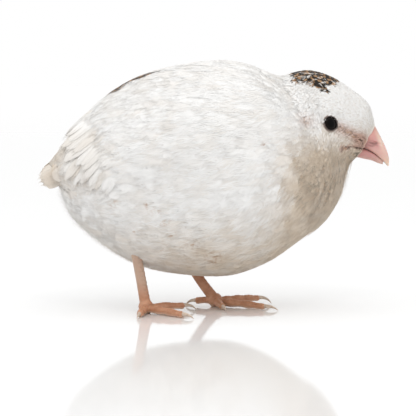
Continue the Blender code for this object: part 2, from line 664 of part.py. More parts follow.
def toe_path(foot, toe):
    """The ball's middle on the ground, the toe's heading, its length and the height of its end."""
    heading, length, end_height = TOES[foot][toe]
    ball = SHANKS[foot][2]
    way = np.array((math.cos(math.radians(heading)), math.sin(math.radians(heading)), 0.0))
    return np.array((ball[0], ball[1], GROUND)), way, length, end_height


def build_toe(foot, toe, finish):
    """A toe with a swelling at each joint, its underside flat on the ground and its root cut to the ball."""
    start, way, length, end_height = toe_path(foot, toe)
    share = np.linspace(0, 1, TOE_RINGS[toe])
    start_height = TOE_START_HEIGHT[toe]
    arch = TOE_ARCH * np.sin(math.pi * share)
    height = start_height + (end_height - start_height) * share ** TOE_HEIGHT_POWER + arch
    first = BALL_RADIUS * TOE_START
    reach = first + (length - first) * share
    centres = start + way * reach[:, None] + np.array((0, 0, 1.0)) * height[:, None]
    swell = 1 + TOE_SWELL * np.cos(share * TOE_PADS[toe] * 2 * math.pi)
    root = np.clip((reach - BALL_RADIUS - GAP) / TOE_ROOT_LENGTH, 0, 1)
    full = TOE_RADIUS * (TOE_FIRST - TOE_TAPER * share) * swell
    radius = TOE_ROOT_RADIUS + (full - TOE_ROOT_RADIUS) * root
    radius[-1] *= TOE_END
    made = tube(f"toe_{foot}_{toe}", centres, [(r, r) for r in radius], finish, 8, GROUND)
    combine(made, list(shank_parts("cutter", foot, finish, GAP)), "DIFFERENCE")


def build_claw(foot, toe, finish):
    """A claw bent down from the toe's end, tapering to its tip, which comes down to the ground."""
    start, way, length, end_height = toe_path(foot, toe)
    base = start + way * (length + GAP) + np.array((0, 0, end_height + CLAW_RAISED))
    share = np.linspace(0, 1, CLAW_RINGS)
    drop = end_height + CLAW_RAISED - CLAW_TIP_HEIGHT
    reach = CLAW_LENGTH[toe] * np.sin(share * CLAW_BEND) / math.sin(CLAW_BEND)
    centres = base + way * reach[:, None]
    centres[:, 2] += CLAW_ARCH * np.sin(math.pi * share) - drop * (1 - np.cos(share * math.pi / 2))
    radius = CLAW_RADIUS * (1 - CLAW_TAPER * share ** CLAW_TAPER_POWER)
    tube(f"claw_{foot}_{toe}", centres, [(r * CLAW_FLAT, r) for r in radius], finish, 6, GROUND)


def clear_scene():
    for thing in list(bpy.data.objects):
        bpy.data.objects.remove(thing)


def main():
    clear_scene()
    plumage = material("white plumage", WHITE, 0.85)
    vanes = material("flight feathers", CREAM, 0.75)
    bill = material("bill", BILL_PINK, 0.45)
    skin = material("shank skin", SHANK_PINK, 0.6)
    horn = material("claw horn", HORN, 0.4)
    eye = material("eye", EYE_BLACK, 0.06)

    body_piece("torso", cut_share(TAIL_CUT, 1), cut_share(NECK_CUT, -1), "torso", plumage)
    body_piece("neck", cut_share(NECK_CUT, 1), cut_share(HEAD_CUT, -1), "neck", plumage)
    build_head(plumage)
    build_bill(bill)
    build_eyes(eye)
    tail_cutter_start = cut_share(TAIL_CUT, -1) + TAIL_CUTTER_STEP
    ahead = body_piece("ahead", tail_cutter_start, TAIL_CUTTER_END, "tail cutter", plumage, TAIL_CUTTER_GROW)
    build_tail(vanes, ahead)
    build_wing("wing_right", -1, vanes)
    build_wing("wing_left", 1, vanes)
    for foot in ("right", "left"):
        build_shank(foot, skin, body_piece("body cutter", *LEG_CUTTER_SPAN, "leg cutter", plumage, SKIN_GAP))
        for toe in TOES[foot]:
            build_toe(foot, toe, skin)
            build_claw(foot, toe, horn)


main()
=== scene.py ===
"""Finish for the white coturnix quail: skin, plumage, bill, eyes, legs, claws, floor, light and camera.

Lengths are worked out in millimetres in the frame's own axes and turned into metres when a mesh is made.
"""

import math

import bpy
import numpy as np
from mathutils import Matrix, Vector


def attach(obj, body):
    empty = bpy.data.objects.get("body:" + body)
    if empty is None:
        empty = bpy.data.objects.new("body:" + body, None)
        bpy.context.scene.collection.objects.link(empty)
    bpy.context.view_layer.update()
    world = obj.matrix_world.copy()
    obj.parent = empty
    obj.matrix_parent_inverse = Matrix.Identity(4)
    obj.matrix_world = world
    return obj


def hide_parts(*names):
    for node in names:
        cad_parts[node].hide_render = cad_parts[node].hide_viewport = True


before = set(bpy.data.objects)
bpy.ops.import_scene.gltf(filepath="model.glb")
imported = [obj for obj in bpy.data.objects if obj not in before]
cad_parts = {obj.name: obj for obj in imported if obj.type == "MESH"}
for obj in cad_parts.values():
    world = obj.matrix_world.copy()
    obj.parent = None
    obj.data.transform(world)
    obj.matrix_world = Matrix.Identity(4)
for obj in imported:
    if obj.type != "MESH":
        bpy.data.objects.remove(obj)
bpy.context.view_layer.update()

MM = 0.001
PI = math.pi
ROOT_SEED = 11

# Body sections as in the solids: back x, z, belly x, z, half width above and below the middle.
SECTIONS = np.array((
    (-59.0, 57.0, -58.6, 47.6, 4.8, 5.2),
    (-55.6, 61.4, -56.0, 43.8, 10.0, 11.0),
    (-49.5, 69.9, -52.0, 34.6, 16.6, 18.4),
    (-39.5, 79.6, -43.0, 25.7, 23.4, 26.0),
    (-26.0, 87.2, -27.5, 16.3, 28.6, 31.8),
    (-12.0, 90.9, -10.5, 12.6, 31.0, 34.6),
    (2.0, 92.6, 6.5, 12.4, 31.0, 35.0),
    (12.5, 91.2, 20.4, 17.3, 28.8, 32.8),
    (19.0, 88.6, 31.6, 24.9, 25.2, 29.2),
    (23.0, 86.9, 41.2, 32.8, 21.4, 24.8),
    (25.6, 86.7, 46.9, 42.0, 17.8, 20.2),
    (29.5, 87.7, 48.5, 49.5, 14.2, 15.6),
    (36.0, 88.5, 49.9, 53.3, 11.4, 12.6),
    (44.0, 86.0, 51.2, 55.0, 9.6, 10.2),
    (51.5, 81.2, 52.2, 55.8, 8.0, 8.3),
    (57.4, 76.0, 52.7, 56.1, 6.4, 6.6),
    (59.8, 68.0, 53.2, 56.3, 3.9, 4.5),
))
BILL_END = float(len(SECTIONS) - 1)

# Face: the eye, and lines of the side view along the mouth, the crease of the jaw and the lores.
EYE_X, EYE_Z = 42.8, 69.5
EYE_RADIUS, EYE_PROUD, EYE_OPENING = 4.0, 0.35, 2.32
LID_RADIUS = 2.55
GAPE = np.array(((45.2, 60.2), (49.0, 60.6), (53.0, 60.0), (57.0, 58.8)))
CREASE = np.array(((43.2, 55.6), (48.4, 57.0), (53.0, 57.7)))
LORE = np.array(((46.6, 67.6), (50.5, 65.4), (55.0, 61.8)))
MIDDLE_STRIP = 1.5  # the mouth's lines stop this far from the middle plane

# Bill sections: ridge x, z and tomium x, z, and half width at the tomium.
UPPER_BILL = np.array((
    (59.9, 67.6, 55.4, 59.5, 4.2),
    (61.4, 64.8, 57.4, 58.7, 3.8),
    (63.0, 61.6, 59.5, 57.5, 3.1),
    (64.3, 58.5, 61.4, 56.0, 2.25),
    (65.0, 55.6, 63.1, 54.6, 1.2),
    (64.9, 53.3, 64.6, 53.0, 0.3),
))
LOWER_BILL = np.array((
    (55.4, 59.8, 53.4, 56.3, 3.75),
    (57.4, 58.95, 56.0, 55.7, 3.3),
    (59.5, 57.75, 58.4, 55.2, 2.6),
    (61.4, 56.3, 60.9, 54.2, 1.7),
    (62.9, 55.0, 62.6, 53.7, 0.6),
))

BALL_HEIGHT, BALL_RADIUS = 2.4, 2.75
SHANKS = {
    "right": ((-29.0, -14.5, 27.0), (-26.9, -13.4, 15.5), (-24.6, -13.0, BALL_HEIGHT)),
    "left": ((-14.5, 8.0, 27.0), (-6.2, 7.2, 12.0), (0.8, 6.4, BALL_HEIGHT)),
}
# For each toe: heading in degrees from +X to +Y, length without claw, height of the last joint's middle.
TOES = {
    "right": {"hind": (100.0, 7.0, 1.9), "inner": (24.0, 15.4, 1.9), "middle": (-45.0, 19.6, 1.15),
              "outer": (-99.0, 12.6, 1.15)},
    "left": {"hind": (170.0, 7.6, 1.9), "inner": (-76.0, 11.6, 1.15), "middle": (-30.0, 21.4, 1.15),
             "outer": (16.0, 17.4, 2.5)},
}
TOE_RADIUS = 1.4
TOE_PADS = {"hind": 1, "inner": 2, "middle": 3, "outer": 4}
CLAW_LENGTH = {"hind": 3.4, "inner": 4.4, "middle": 5.0, "outer": 4.4}
CLAW_RADIUS = 0.78
LOWEST = 0.02  # no foot reaches below this height

SHOULDER = np.array((12.5, 74.0))
WING_TIP = np.array((-58.0, 50.5))
WING_RUN = WING_TIP - SHOULDER
WING_HALF_HEIGHT, WING_WIDEST, WING_BLUNT = 15.5, 0.36, 3.2
WING_RISE = 2.6

# Colours in linear light.
WHITE = (0.865, 0.86, 0.848)
VANE_WHITE = (0.90, 0.89, 0.87)
SKIN_TONE = (0.70, 0.66, 0.61)
# The cream colour also paints shade: low on the body, on the breast and over the rear of the wing.
CREAM_AND_SHADE = (0.64, 0.54, 0.43)
BLUSH = (0.57, 0.38, 0.31)
# The near-black serves the dark crown and rump markings and also painted shade in the face's creases, ear
# opening and lores.
DARK_AND_SHADE = (0.022, 0.016, 0.012)
TAN = (0.42, 0.25, 0.13)
STAIN = (0.36, 0.17, 0.06)
# Painted shade: a warm darker tone towards each feather's root, where the crevices between feathers fall.
ROOT_SHADE = (0.84, 0.79, 0.72)


def blend_step(value, low, high):
    """Smooth step: 0 below low, 1 above high, and 3t^2 - 2t^3 between them."""
    t = np.clip((np.asarray(value, float) - low) / (high - low), 0, 1)
    return t * t * (3 - 2 * t)


def bell(value, centre, width):
    """A bell of height 1: e to the minus square of the distance from the centre over the width."""
    return np.exp(-((value - centre) / width) ** 2)


def spot(x, z, place, size, power=2):
    """A bell over two coordinates: the powers of both distances, over the sizes, are added first."""
    return np.exp(-(((x - place[0]) / size[0]) ** power + ((z - place[1]) / size[1]) ** power))


def unit(vectors):
    return vectors / np.maximum(np.linalg.norm(vectors, axis=-1, keepdims=True), 1e-9)


def smooth_rows(table, at):
    """A table's rows read at fractional row numbers, on a Catmull-Rom cubic through the rows."""
    at = np.asarray(at, float)
    last = len(table) - 1
    left = np.clip(np.floor(at).astype(int), 0, last - 1)
    s = (at - left)[..., None]
    padded = np.vstack((2 * table[0] - table[1], table, 2 * table[-1] - table[-2]))
    p0, p1, p2, p3 = (padded[left + k] for k in range(4))
    return 0.5 * (2 * p1 + (p2 - p0) * s + (2 * p0 - 5 * p1 + 4 * p2 - p3) * s ** 2
                  + (3 * p1 - p0 - 3 * p2 + p3) * s ** 3)


def read_curve(table, at):
    """Linear reading of a table of (place, value) pairs."""
    table = np.asarray(table, float)
    return np.interp(at, table[:, 0], table[:, 1])


def distance_to_line(x, z, line):
    """Shortest distance in the side view from points to a line of points, by projecting on every stretch."""
    best = np.full(np.shape(x), 1e9)
    for a, b in zip(line[:-1], line[1:]):
        run = b - a
        t = np.clip(((x - a[0]) * run[0] + (z - a[1]) * run[1]) / (run @ run), 0, 1)
        best = np.minimum(best, np.hypot(x - a[0] - run[0] * t, z - a[1] - run[1] * t))
    return best


# The body's surface

def on_wing(x, z):
    """Place on the folded wing in the side view: share from shoulder to tip, and distance across upwards."""
    upward = np.array((WING_RUN[1], -WING_RUN[0])) / np.linalg.norm(WING_RUN)
    along = ((x - SHOULDER[0]) * WING_RUN[0] + (z - SHOULDER[1]) * WING_RUN[1]) / (WING_RUN @ WING_RUN)
    return along, (x - SHOULDER[0]) * upward[0] + (z - SHOULDER[1]) * upward[1]


def wing_swell(x, z):
    """How far the folded wing lifts the surface: a flattened arch across it, faded at its front and rear."""
    along, across = on_wing(x, z)
    inside = np.clip(along, 0.0, 1.0)
    fore = np.clip(1 - inside / WING_WIDEST, 0, 1)
    aft = np.clip((inside - WING_WIDEST) / (1 - WING_WIDEST), 0, 1)
    half = WING_HALF_HEIGHT * np.where(inside < WING_WIDEST, np.sqrt(1 - fore ** 2), 1 - aft ** WING_BLUNT)
    share = across / np.maximum(half, 2.0)
    arch = np.clip(1 - share ** 2, 0, 1) ** 1.4
    ends = blend_step(along, -0.01, 0.2) * (1 - 0.75 * blend_step(along, 0.62, 0.98))
    return WING_RISE * arch * ends


def shell(u, turn):
    """The plumage's outline: down each section by half a cosine, out by a sine of the turn from the back."""
    row = smooth_rows(SECTIONS, u)
    down = (1 - np.cos(turn)) / 2
    blend = down * down * (3 - 2 * down)
    half = (row[..., 4] + (row[..., 5] - row[..., 4]) * blend) * np.sin(turn)
    x = row[..., 0] + (row[..., 2] - row[..., 0]) * down
    z = row[..., 1] + (row[..., 3] - row[..., 1]) * down
    return np.stack((x, half, z), axis=-1)


def shell_normal(u, turn):
    """Outward normal: the cross product of the outline's steps along and round."""
    step = 0.01
    along = shell(u + step, turn) - shell(u - step, turn)
    round_ = shell(u, turn + step) - shell(u, turn - step)
    return unit(np.cross(along, round_))


# How deep the coat lies over the skin, by section number.
COAT_DEPTH = ((0, 0.6), (3, 0.9), (8, 0.9), (10, 0.8), (12, 0.55), (14, 0.35), (15, 0.2), (16, 0.06))
MOUTH = smooth_rows(GAPE, np.linspace(0, 3, 13))


def skin_offset(points, u):
    """Offset of the skin from the outline: in by the coat's depth, out by the wing, in at mouth and orbit."""
    x, y, z = points[..., 0], points[..., 1], points[..., 2]
    face = blend_step(u, 12.0, 13.0) * (np.abs(y) > MIDDLE_STRIP)
    side = blend_step(u, 11.0, 12.0)
    mouth = distance_to_line(x, z, MOUTH)
    offset = wing_swell(x, z) - read_curve(COAT_DEPTH, u)
    offset -= face * 0.55 * bell(mouth, 0.0, 0.42)
    offset += face * 0.25 * bell(mouth, 0.9, 0.5)
    offset -= side * 0.45 * bell(np.hypot(x - EYE_X, z - EYE_Z), 3.6, 1.3)
    offset += side * 0.35 * spot(x, z, (EYE_X, EYE_Z + 4.2), (4.5, 1.5))
    offset -= side * 0.35 * spot(x, z, (51.0, 66.5), (4.0, 3.2))
    return offset


GRID_U, GRID_T = 641, 721
grid_u = np.linspace(0, BILL_END, GRID_U)
grid_t = np.linspace(-PI, PI, GRID_T)
mesh_u, mesh_t = np.meshgrid(grid_u, grid_t, indexing="ij")
SHELL = shell(mesh_u, mesh_t)
SKIN = SHELL + shell_normal(mesh_u, mesh_t) * skin_offset(SHELL, mesh_u)[..., None]
DU = np.gradient(SKIN, grid_u, axis=0)
DT = np.gradient(SKIN, grid_t, axis=1)
DT[:, 0] = DT[:, -1] = (DT[:, 1] + DT[:, -2]) / 2
NORMAL = unit(np.cross(DU, DT))


def read_grid(grid, u, turn):
    """Bilinear reading of a grid over the body, with the turn wrapped round."""
    fu = np.clip(u, 0, BILL_END) / BILL_END * (GRID_U - 1)
    ft = ((turn + PI) % (2 * PI)) / (2 * PI) * (GRID_T - 1)
    iu = np.clip(fu.astype(int), 0, GRID_U - 2)
    it = np.clip(ft.astype(int), 0, GRID_T - 2)
    a, b = (fu - iu)[..., None], (ft - it)[..., None]
    return ((grid[iu, it] * (1 - b) + grid[iu, it + 1] * b) * (1 - a)
            + (grid[iu + 1, it] * (1 - b) + grid[iu + 1, it + 1] * b) * a)


def on_skin(u, turn):
    """Skin points and outward normals, carried straight on past the tail end."""
    normal = unit(read_grid(NORMAL, u, turn))
    point = read_grid(SKIN, u, turn)
    past = (u - np.clip(u, 0, BILL_END))[..., None]
    return point + read_grid(DU, np.clip(u, 0.02, BILL_END), turn) * past, normal


# Markings, shared by skin and coat

# Soiled spots of the side view: x, z, radius and strength.
STAINS = (
    (-23.4, 40.8, 1.1, 0.9), (-20.4, 38.0, 1.6, 0.8), (-17.0, 34.6, 1.5, 0.6), (-28.2, 31.3, 1.0, 1.0),
    (-15.3, 30.0, 0.9, 1.0), (-6.6, 28.4, 1.2, 0.7), (-7.2, 26.4, 2.2, 0.7), (-2.0, 22.2, 2.4, 0.75),
    (0.3, 20.6, 2.3, 0.95), (-35.6, 40.9, 1.1, 0.9), (-18.9, 23.7, 0.7, 1.0), (17.6, 62.3, 0.7, 1.0),
)
# Lower edge of the crown patch: x, z.
CROWN_EDGE = ((28.2, 90.0), (29.6, 85.0), (33.0, 83.6), (38.0, 82.4), (43.0, 81.0), (45.2, 82.2),
              (47.5, 84.6), (48.5, 90.0))
CROWN_FRONT, CROWN_REAR = 48.6, 26.0


def wobble(x, y, z, scale):
    """A cheap smooth noise between -1 and 1: sums of sines along turned directions."""
    a = np.sin(x * 1.7 / scale + 1.3 * np.sin(z * 1.1 / scale))
    b = np.sin(z * 1.9 / scale + 1.7 * np.sin(y * 1.3 / scale + 0.7))
    c = np.sin((x + z) * 1.1 / scale - 1.1 * np.sin((x - y) * 0.9 / scale))
    return (a + b + c) / 3


def stain_at(points, draw):
    """Share of soiling: a bell round each spot of the table, varied from feather to feather."""
    x, y, z = points[..., 0], points[..., 1], points[..., 2]
    stain = np.zeros_like(x)
    for spot_x, spot_z, size, strength in STAINS:
        near = np.exp(-((x - spot_x) ** 2 + ((z - spot_z) * 1.2) ** 2) / size ** 2)
        stain = np.maximum(stain, strength * near * (y < 0))
    return stain * blend_step(draw + 0.5 * wobble(x, y, z, 0.8), -0.1, 0.6)


def crown_patch(x, y, z, draw):
    """Dark crown: all above its edge, which is pushed about in fingers, less a few feathers left white."""
    fingers = wobble(0.55 * x + 0.83 * z, 0.6 * y, 0.2 * x - 0.12 * z, 0.8)
    ragged = 1.7 * fingers + 0.8 * wobble(x, y, z, 1.6) + 1.2 * (draw - 0.5)
    above = blend_step(z - read_curve(CROWN_EDGE, x) + ragged, -0.3, 0.3)
    return above * (x > CROWN_REAR) * (x < CROWN_FRONT) * (1 - 0.8 * (draw > 0.92))


def rump_patch(x, y, z, draw):
    """Dark rump: a flat bell over the back and a streak on the right side, cut off at an uneven height."""
    patch = spot(x, y, (-30.5, 1.0), (7.0, 5.5), power=4) * (z > 70)
    streak = spot(x, z, (-34.0, 81.2), (2.6, 0.6)) * (y > -16) * (y < 0)
    uneven = 1 + 0.4 * wobble(x, y, z, 1.8) + 0.6 * (draw - 0.5)
    return blend_step((patch + 0.8 * streak) * uneven, 0.42, 0.6)


def face_marks(x, y, z, draw):
    """Shares of dark and blush on the face: painted shade in bells off the mouth and crease, in the ear
    opening and in flecks at lores and bill base; blush round ear, lores, bill and mouth.
    """
    mouth = distance_to_line(x, z, MOUTH)
    crease = distance_to_line(x, z, CREASE)
    # Painted shade along the mouth and the crease of the jaw.
    lines = np.maximum(0.6 * bell(mouth, 0.0, 0.34) * (x > 47.4), 0.4 * bell(crease, 0.0, 0.5))
    lines = lines * (np.abs(y) > MIDDLE_STRIP)
    # Painted shade in the ear opening.
    ear_hole = 0.5 * spot(x, z + 0.5 * (x - 33.8), (33.8, 70.8), (1.5, 0.7)) * (np.abs(y) > 5)
    ear = spot(x, z, (33.5, 70.6), (3.2, 2.0))
    lore = bell(distance_to_line(x, z, LORE), 0.0, 1.9)
    bill_base = spot(x, z, (54.4, 63.2), (2.2, 2.6))
    lips = bell(mouth, 0.0, 0.8) * (x > 47.0)
    blush = np.clip(0.5 * ear + 0.8 * lore + 0.9 * bill_base + 0.9 * lips, 0, 1) * (x > 24)
    # Dark flecks at lores and bill base: painted shade in the crevices between feathers.
    flecks = (0.6 * lore ** 2 + 0.3 * bill_base) * blend_step(draw, 0.35, 0.8)
    return np.maximum(np.maximum(lines, ear_hole), flecks), blush


def marks_at(points, draw):
    """Shares of dark (markings and painted shade), stain, cream (with painted shade) and blush at points;
    draw varies them from feather to feather.
    """
    x, y, z = points[..., 0], points[..., 1], points[..., 2]
    dark, blush = face_marks(x, y, z, draw)
    dark = np.maximum(dark, np.maximum(crown_patch(x, y, z, draw), rump_patch(x, y, z, draw)))
    # Cream share: painted shade low on the body, on the breast and over the rear of the wing; cream tone
    # towards the tail and from feather to feather.
    low = blend_step(-z, -46.0, -14.0) * (0.5 + 0.7 * blend_step(x, -38.0, 0.0))
    front = blend_step(x, 14.0, 40.0) * blend_step(-z, -72.0, -50.0)
    tail = blend_step(-x, 54.0, 60.0)
    flight = blend_step(-x, 36.0, 44.0) * blend_step(-np.abs(z - 56.0), -14.0, -9.0)
    cream_and_shade = np.clip(0.05 + 0.7 * low + 1.5 * front + 0.45 * tail + 0.28 * flight + 0.4 * (draw - 0.5), 0, 1)
    # Painted shade in streaks between the long feathers of the throat and breast.
    throat = blend_step(x, 24.0, 36.0) * blend_step(-z, -60.0, -52.0) * blend_step(z, 34.0, 44.0)
    shade_streaks = (0.42 * throat + 0.14 * front) * blend_step(draw, 0.66, 0.9)
    return np.stack((np.maximum(dark, shade_streaks), stain_at(points, draw), cream_and_shade, blush), axis=-1)


# Meshes from arrays

CALM_SHARE = 0.65


def calm_corners(mesh, points, faces, calm):
    """Shading normals of feathers: those of the surface they lie on and their own, mixed by CALM_SHARE.

    Calm holds the surface's normal for each point. On a feather's underside it is turned inwards."""
    own = np.empty(len(points) * 3, np.float32)
    mesh.vertices.foreach_get("normal", own)
    corner = points[faces]
    flat = unit(np.cross(corner[:, 1] - corner[:, 0], corner[:, 2] - corner[:, 0]))[:, None, :]
    lies_on = calm[faces]
    over = np.sum(flat * lies_on.mean(axis=1, keepdims=True), axis=-1, keepdims=True) >= 0
    mixed = np.where(over, own.reshape(-1, 3)[faces] * (1 - CALM_SHARE) + lies_on * CALM_SHARE,
                     flat * (1 - CALM_SHARE) - lies_on * CALM_SHARE)
    mesh.normals_split_custom_set(unit(mixed).reshape(-1, 3).astype(np.float32))


def make_piece(name, points, faces, finish, uvs=None, attributes=None, smooth=True, calm=None):
    """A mesh object at the origin from points in millimetres and faces that all have as many corners."""
    points = np.asarray(points, float)
    faces = np.asarray(faces, np.int32)
    mesh = bpy.data.meshes.new(name)
    mesh.vertices.add(len(points))
    mesh.vertices.foreach_set("co", (points * MM).astype(np.float32).ravel())
    mesh.loops.add(faces.size)
    mesh.loops.foreach_set("vertex_index", faces.ravel())
    mesh.polygons.add(len(faces))
    mesh.polygons.foreach_set("loop_start", np.arange(0, faces.size, faces.shape[1], dtype=np.int32))
    mesh.update(calc_edges=True)
    for label, values in (uvs or {}).items():
        layer = mesh.uv_layers.new(name=label)
        values = np.asarray(values, np.float32)
        corners = values.reshape(-1, 2) if values.ndim == 3 else values[faces.ravel()]
        layer.data.foreach_set("uv", corners.ravel())
    for label, values in (attributes or {}).items():
        layer = mesh.attributes.new(label, "FLOAT_COLOR", "POINT")
        layer.data.foreach_set("color", np.asarray(values, np.float32).ravel())
    if smooth:
        mesh.shade_smooth()
    if calm is not None:
        calm_corners(mesh, points, faces, np.asarray(calm))
    mesh.materials.append(finish)
    made = bpy.data.objects.new(name, mesh)
    bpy.context.scene.collection.objects.link(made)
    return made


def grid_quads(rows, columns, wrap=False):
    """Quads of a grid of points, row by row; a wrapped grid joins its last column to its first."""
    count = columns if wrap else columns - 1
    r, c = np.meshgrid(np.arange(rows - 1), np.arange(count), indexing="ij")
    n = (c + 1) % columns
    corners = (r * columns + c, r * columns + n, (r + 1) * columns + n, (r + 1) * columns + c)
    return np.stack(corners, -1).reshape(-1, 4)


def halve_quads(quads):
    return np.vstack((quads[:, (0, 1, 2)], quads[:, (0, 2, 3)]))


def closed_tube(points):
    """Triangles and points of a tube grid (rings, around, 3) with both ends closed to their middles."""
    rings, around = points.shape[:2]
    flat = np.vstack((points.reshape(-1, 3), points[0].mean(0), points[-1].mean(0)))
    a = np.arange(around)
    b = (a + 1) % around
    first = np.stack((b, a, np.full(around, rings * around)), -1)
    last = np.stack((a, b, np.full(around, rings * around + 1)), -1)
    last[:, :2] += (rings - 1) * around
    return flat, np.vstack((halve_quads(grid_quads(rings, around, True)), first, last))


def face_outwards(points, tris):
    """Turns all triangles over if the closed surface holds a negative volume."""
    p = points[tris]
    volume = np.einsum("ij,ij->i", p[:, 0], np.cross(p[:, 1], p[:, 2])).sum()
    return tris if volume > 0 else tris[:, ::-1]


def shares_of(first, second=0.0, third=0.0):
    """A colour attribute that holds up to three shares for each point."""
    first = np.asarray(first, float)
    return np.stack((first, first * 0 + second, first * 0 + third, np.ones_like(first)), -1)


def finish_piece(piece, slot, *nodes):
    """Names the body a piece rides on and hides the solids it takes the place of. The slot is not used."""
    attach(piece, "root")
    if nodes:
        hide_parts(*nodes)


# Shader helpers

def set_socket(tree, socket, value):
    """Links a socket to another, or gives it a constant; a colour of three numbers gets its fourth."""
    if isinstance(value, bpy.types.NodeSocket):
        tree.links.new(value, socket)
    elif isinstance(value, tuple) and socket.type == "RGBA" and len(value) == 3:
        socket.default_value = (*value, 1.0)
    else:
        socket.default_value = value


def new_material(name, roughness):
    """A material, its node tree and its Principled shader."""
    made = bpy.data.materials.new(name)
    made.use_nodes = True
    tree = made.node_tree
    shader = tree.nodes["Principled BSDF"]
    shader.inputs["Roughness"].default_value = roughness
    return made, tree, shader


def add(tree, kind, inputs=None, **settings):
    node = tree.nodes.new(kind)
    for key, value in settings.items():
        setattr(node, key, value)
    for key, value in (inputs or {}).items():
        set_socket(tree, node.inputs[key], value)
    return node


def object_place(tree):
    return add(tree, "ShaderNodeTexCoord").outputs["Object"]


def noise(tree, place, scale, detail):
    return add(tree, "ShaderNodeTexNoise", {"Vector": place, "Scale": scale, "Detail": detail}).outputs["Fac"]


def read_shares(tree, name):
    """The outputs Red, Green and Blue of a colour attribute, and its own node, which also has Alpha."""
    attribute = add(tree, "ShaderNodeAttribute", attribute_name=name, attribute_type="GEOMETRY")
    return add(tree, "ShaderNodeSeparateColor", {"Color": attribute.outputs["Color"]}).outputs, attribute


def mix_colour(tree, factor, first, second, mode="MIX"):
    """One colour mixed over another; sockets are found by place, because several share a name."""
    node = add(tree, "ShaderNodeMix", data_type="RGBA", blend_type=mode)
    for place, value in ((0, factor), (6, first), (7, second)):
        set_socket(tree, node.inputs[place], value)
    return node.outputs[2]


def math_node(tree, operation, first, second=0.0, third=0.0):
    node = add(tree, "ShaderNodeMath", operation=operation)
    for socket, value in zip(node.inputs, (first, second, third)):
        set_socket(tree, socket, value)
    return node.outputs[0]


def ramp(tree, factor, *stops):
    """A colour ramp through stops of a place and a colour or a grey."""
    node = add(tree, "ShaderNodeValToRGB", {"Fac": factor})
    elements = node.color_ramp.elements
    while len(elements) < len(stops):
        elements.new(0.5)
    for element, (place, value) in zip(elements, stops):
        element.position = place
        element.color = (*value, 1.0) if isinstance(value, tuple) else (value, value, value, 1.0)
    return node.outputs["Color"]


def set_relief(tree, shader, height, strength, depth):
    """Bump on a shader, with its depth in metres."""
    bump = add(tree, "ShaderNodeBump", {"Strength": strength, "Distance": depth, "Height": height})
    tree.links.new(bump.outputs["Normal"], shader.inputs["Normal"])


def set_flesh(shader, share, radius, scale):
    """Light that passes through the surface, on the shader's own sockets."""
    shader.inputs["Subsurface Weight"].default_value = share
    shader.inputs["Subsurface Radius"].default_value = radius
    shader.inputs["Subsurface Scale"].default_value = scale


def new_group(name, inputs, outputs):
    group = bpy.data.node_groups.new(name, "ShaderNodeTree")
    for label, kind, default in inputs:
        socket = group.interface.new_socket(label, in_out="INPUT", socket_type=kind)
        socket.default_value = default
    for label, kind in outputs:
        group.interface.new_socket(label, in_out="OUTPUT", socket_type=kind)
    return group, group.nodes.new("NodeGroupInput"), group.nodes.new("NodeGroupOutput")


def use_group(tree, group, **values):
    node = add(tree, "ShaderNodeGroup", node_tree=group)
    for key, value in values.items():
        set_socket(tree, node.inputs[key.replace("_", " ")], value)
    return node


def markings_group():
    """Plumage colour from the marks attribute: dark with tan flecks, stain, cream and blush over white;
    the dark and the cream also hold painted shade.
    """
    group, given, out = new_group("plumage markings", (
        ("White", "NodeSocketColor", (*WHITE, 1)),
        ("Cream And Shade", "NodeSocketColor", (*CREAM_AND_SHADE, 1)),
        ("Blush", "NodeSocketColor", (*BLUSH, 1)),
        ("Cream And Shade Share", "NodeSocketFloat", 1.0),
    ), (("Color", "NodeSocketColor"),))
    parts, marks = read_shares(group, "marks")
    place = object_place(group)
    cloudy = noise(group, place, 160.0, 3.0)
    fleck = noise(group, place, 620.0, 2.0)
    uneven = math_node(group, "MULTIPLY_ADD", cloudy, 0.7, 0.65)
    share = math_node(group, "MULTIPLY", parts["Blue"], given.outputs["Cream And Shade Share"])
    share = math_node(group, "MULTIPLY", share, uneven)
    base = mix_colour(group, share, given.outputs["White"], given.outputs["Cream And Shade"])
    base = mix_colour(group, marks.outputs["Alpha"], base, given.outputs["Blush"])
    soiled = math_node(group, "MULTIPLY", parts["Green"], ramp(group, fleck, (0.46, 0.0), (0.60, 1.0)))
    base = mix_colour(group, soiled, base, STAIN)
    # The dark share: crown and rump markings, and painted shade on face, throat and breast.
    flecked = mix_colour(group, ramp(group, fleck, (0.50, 0.0), (0.60, 1.0)), DARK_AND_SHADE, TAN)
    group.links.new(mix_colour(group, parts["Red"], base, flecked), out.inputs["Color"])
    return group


def barbs_group():
    """Fine barbs of a vane from its own UV map: waves slanting from the shaft to each edge, and the shaft."""
    group, given, out = new_group("barbs", (
        ("Count", "NodeSocketFloat", 16.0),
        ("Slant", "NodeSocketFloat", 1.3),
    ), (("Height", "NodeSocketFloat"), ("Along", "NodeSocketFloat")))
    place = add(group, "ShaderNodeUVMap", uv_map="Vane").outputs["UV"]
    xyz = add(group, "ShaderNodeSeparateXYZ", {"Vector": place})
    across = math_node(group, "ABSOLUTE", math_node(group, "SUBTRACT", xyz.outputs["X"], 0.5))
    slanted = math_node(group, "MULTIPLY", across, given.outputs["Slant"])
    behind = math_node(group, "SUBTRACT", xyz.outputs["Y"], slanted)
    phase = math_node(group, "MULTIPLY", behind, given.outputs["Count"])
    wave = math_node(group, "SINE", math_node(group, "MULTIPLY", phase, 2 * PI))
    shaft = math_node(group, "SUBTRACT", 1.0, math_node(group, "MULTIPLY", across, 22.0))
    shaft = math_node(group, "MAXIMUM", shaft, 0.0)
    height = math_node(group, "MULTIPLY_ADD", wave, 0.22, shaft)
    group.links.new(height, out.inputs["Height"])
    group.links.new(xyz.outputs["Y"], out.inputs["Along"])
    return group


MARKINGS = markings_group()
BARBS = barbs_group()


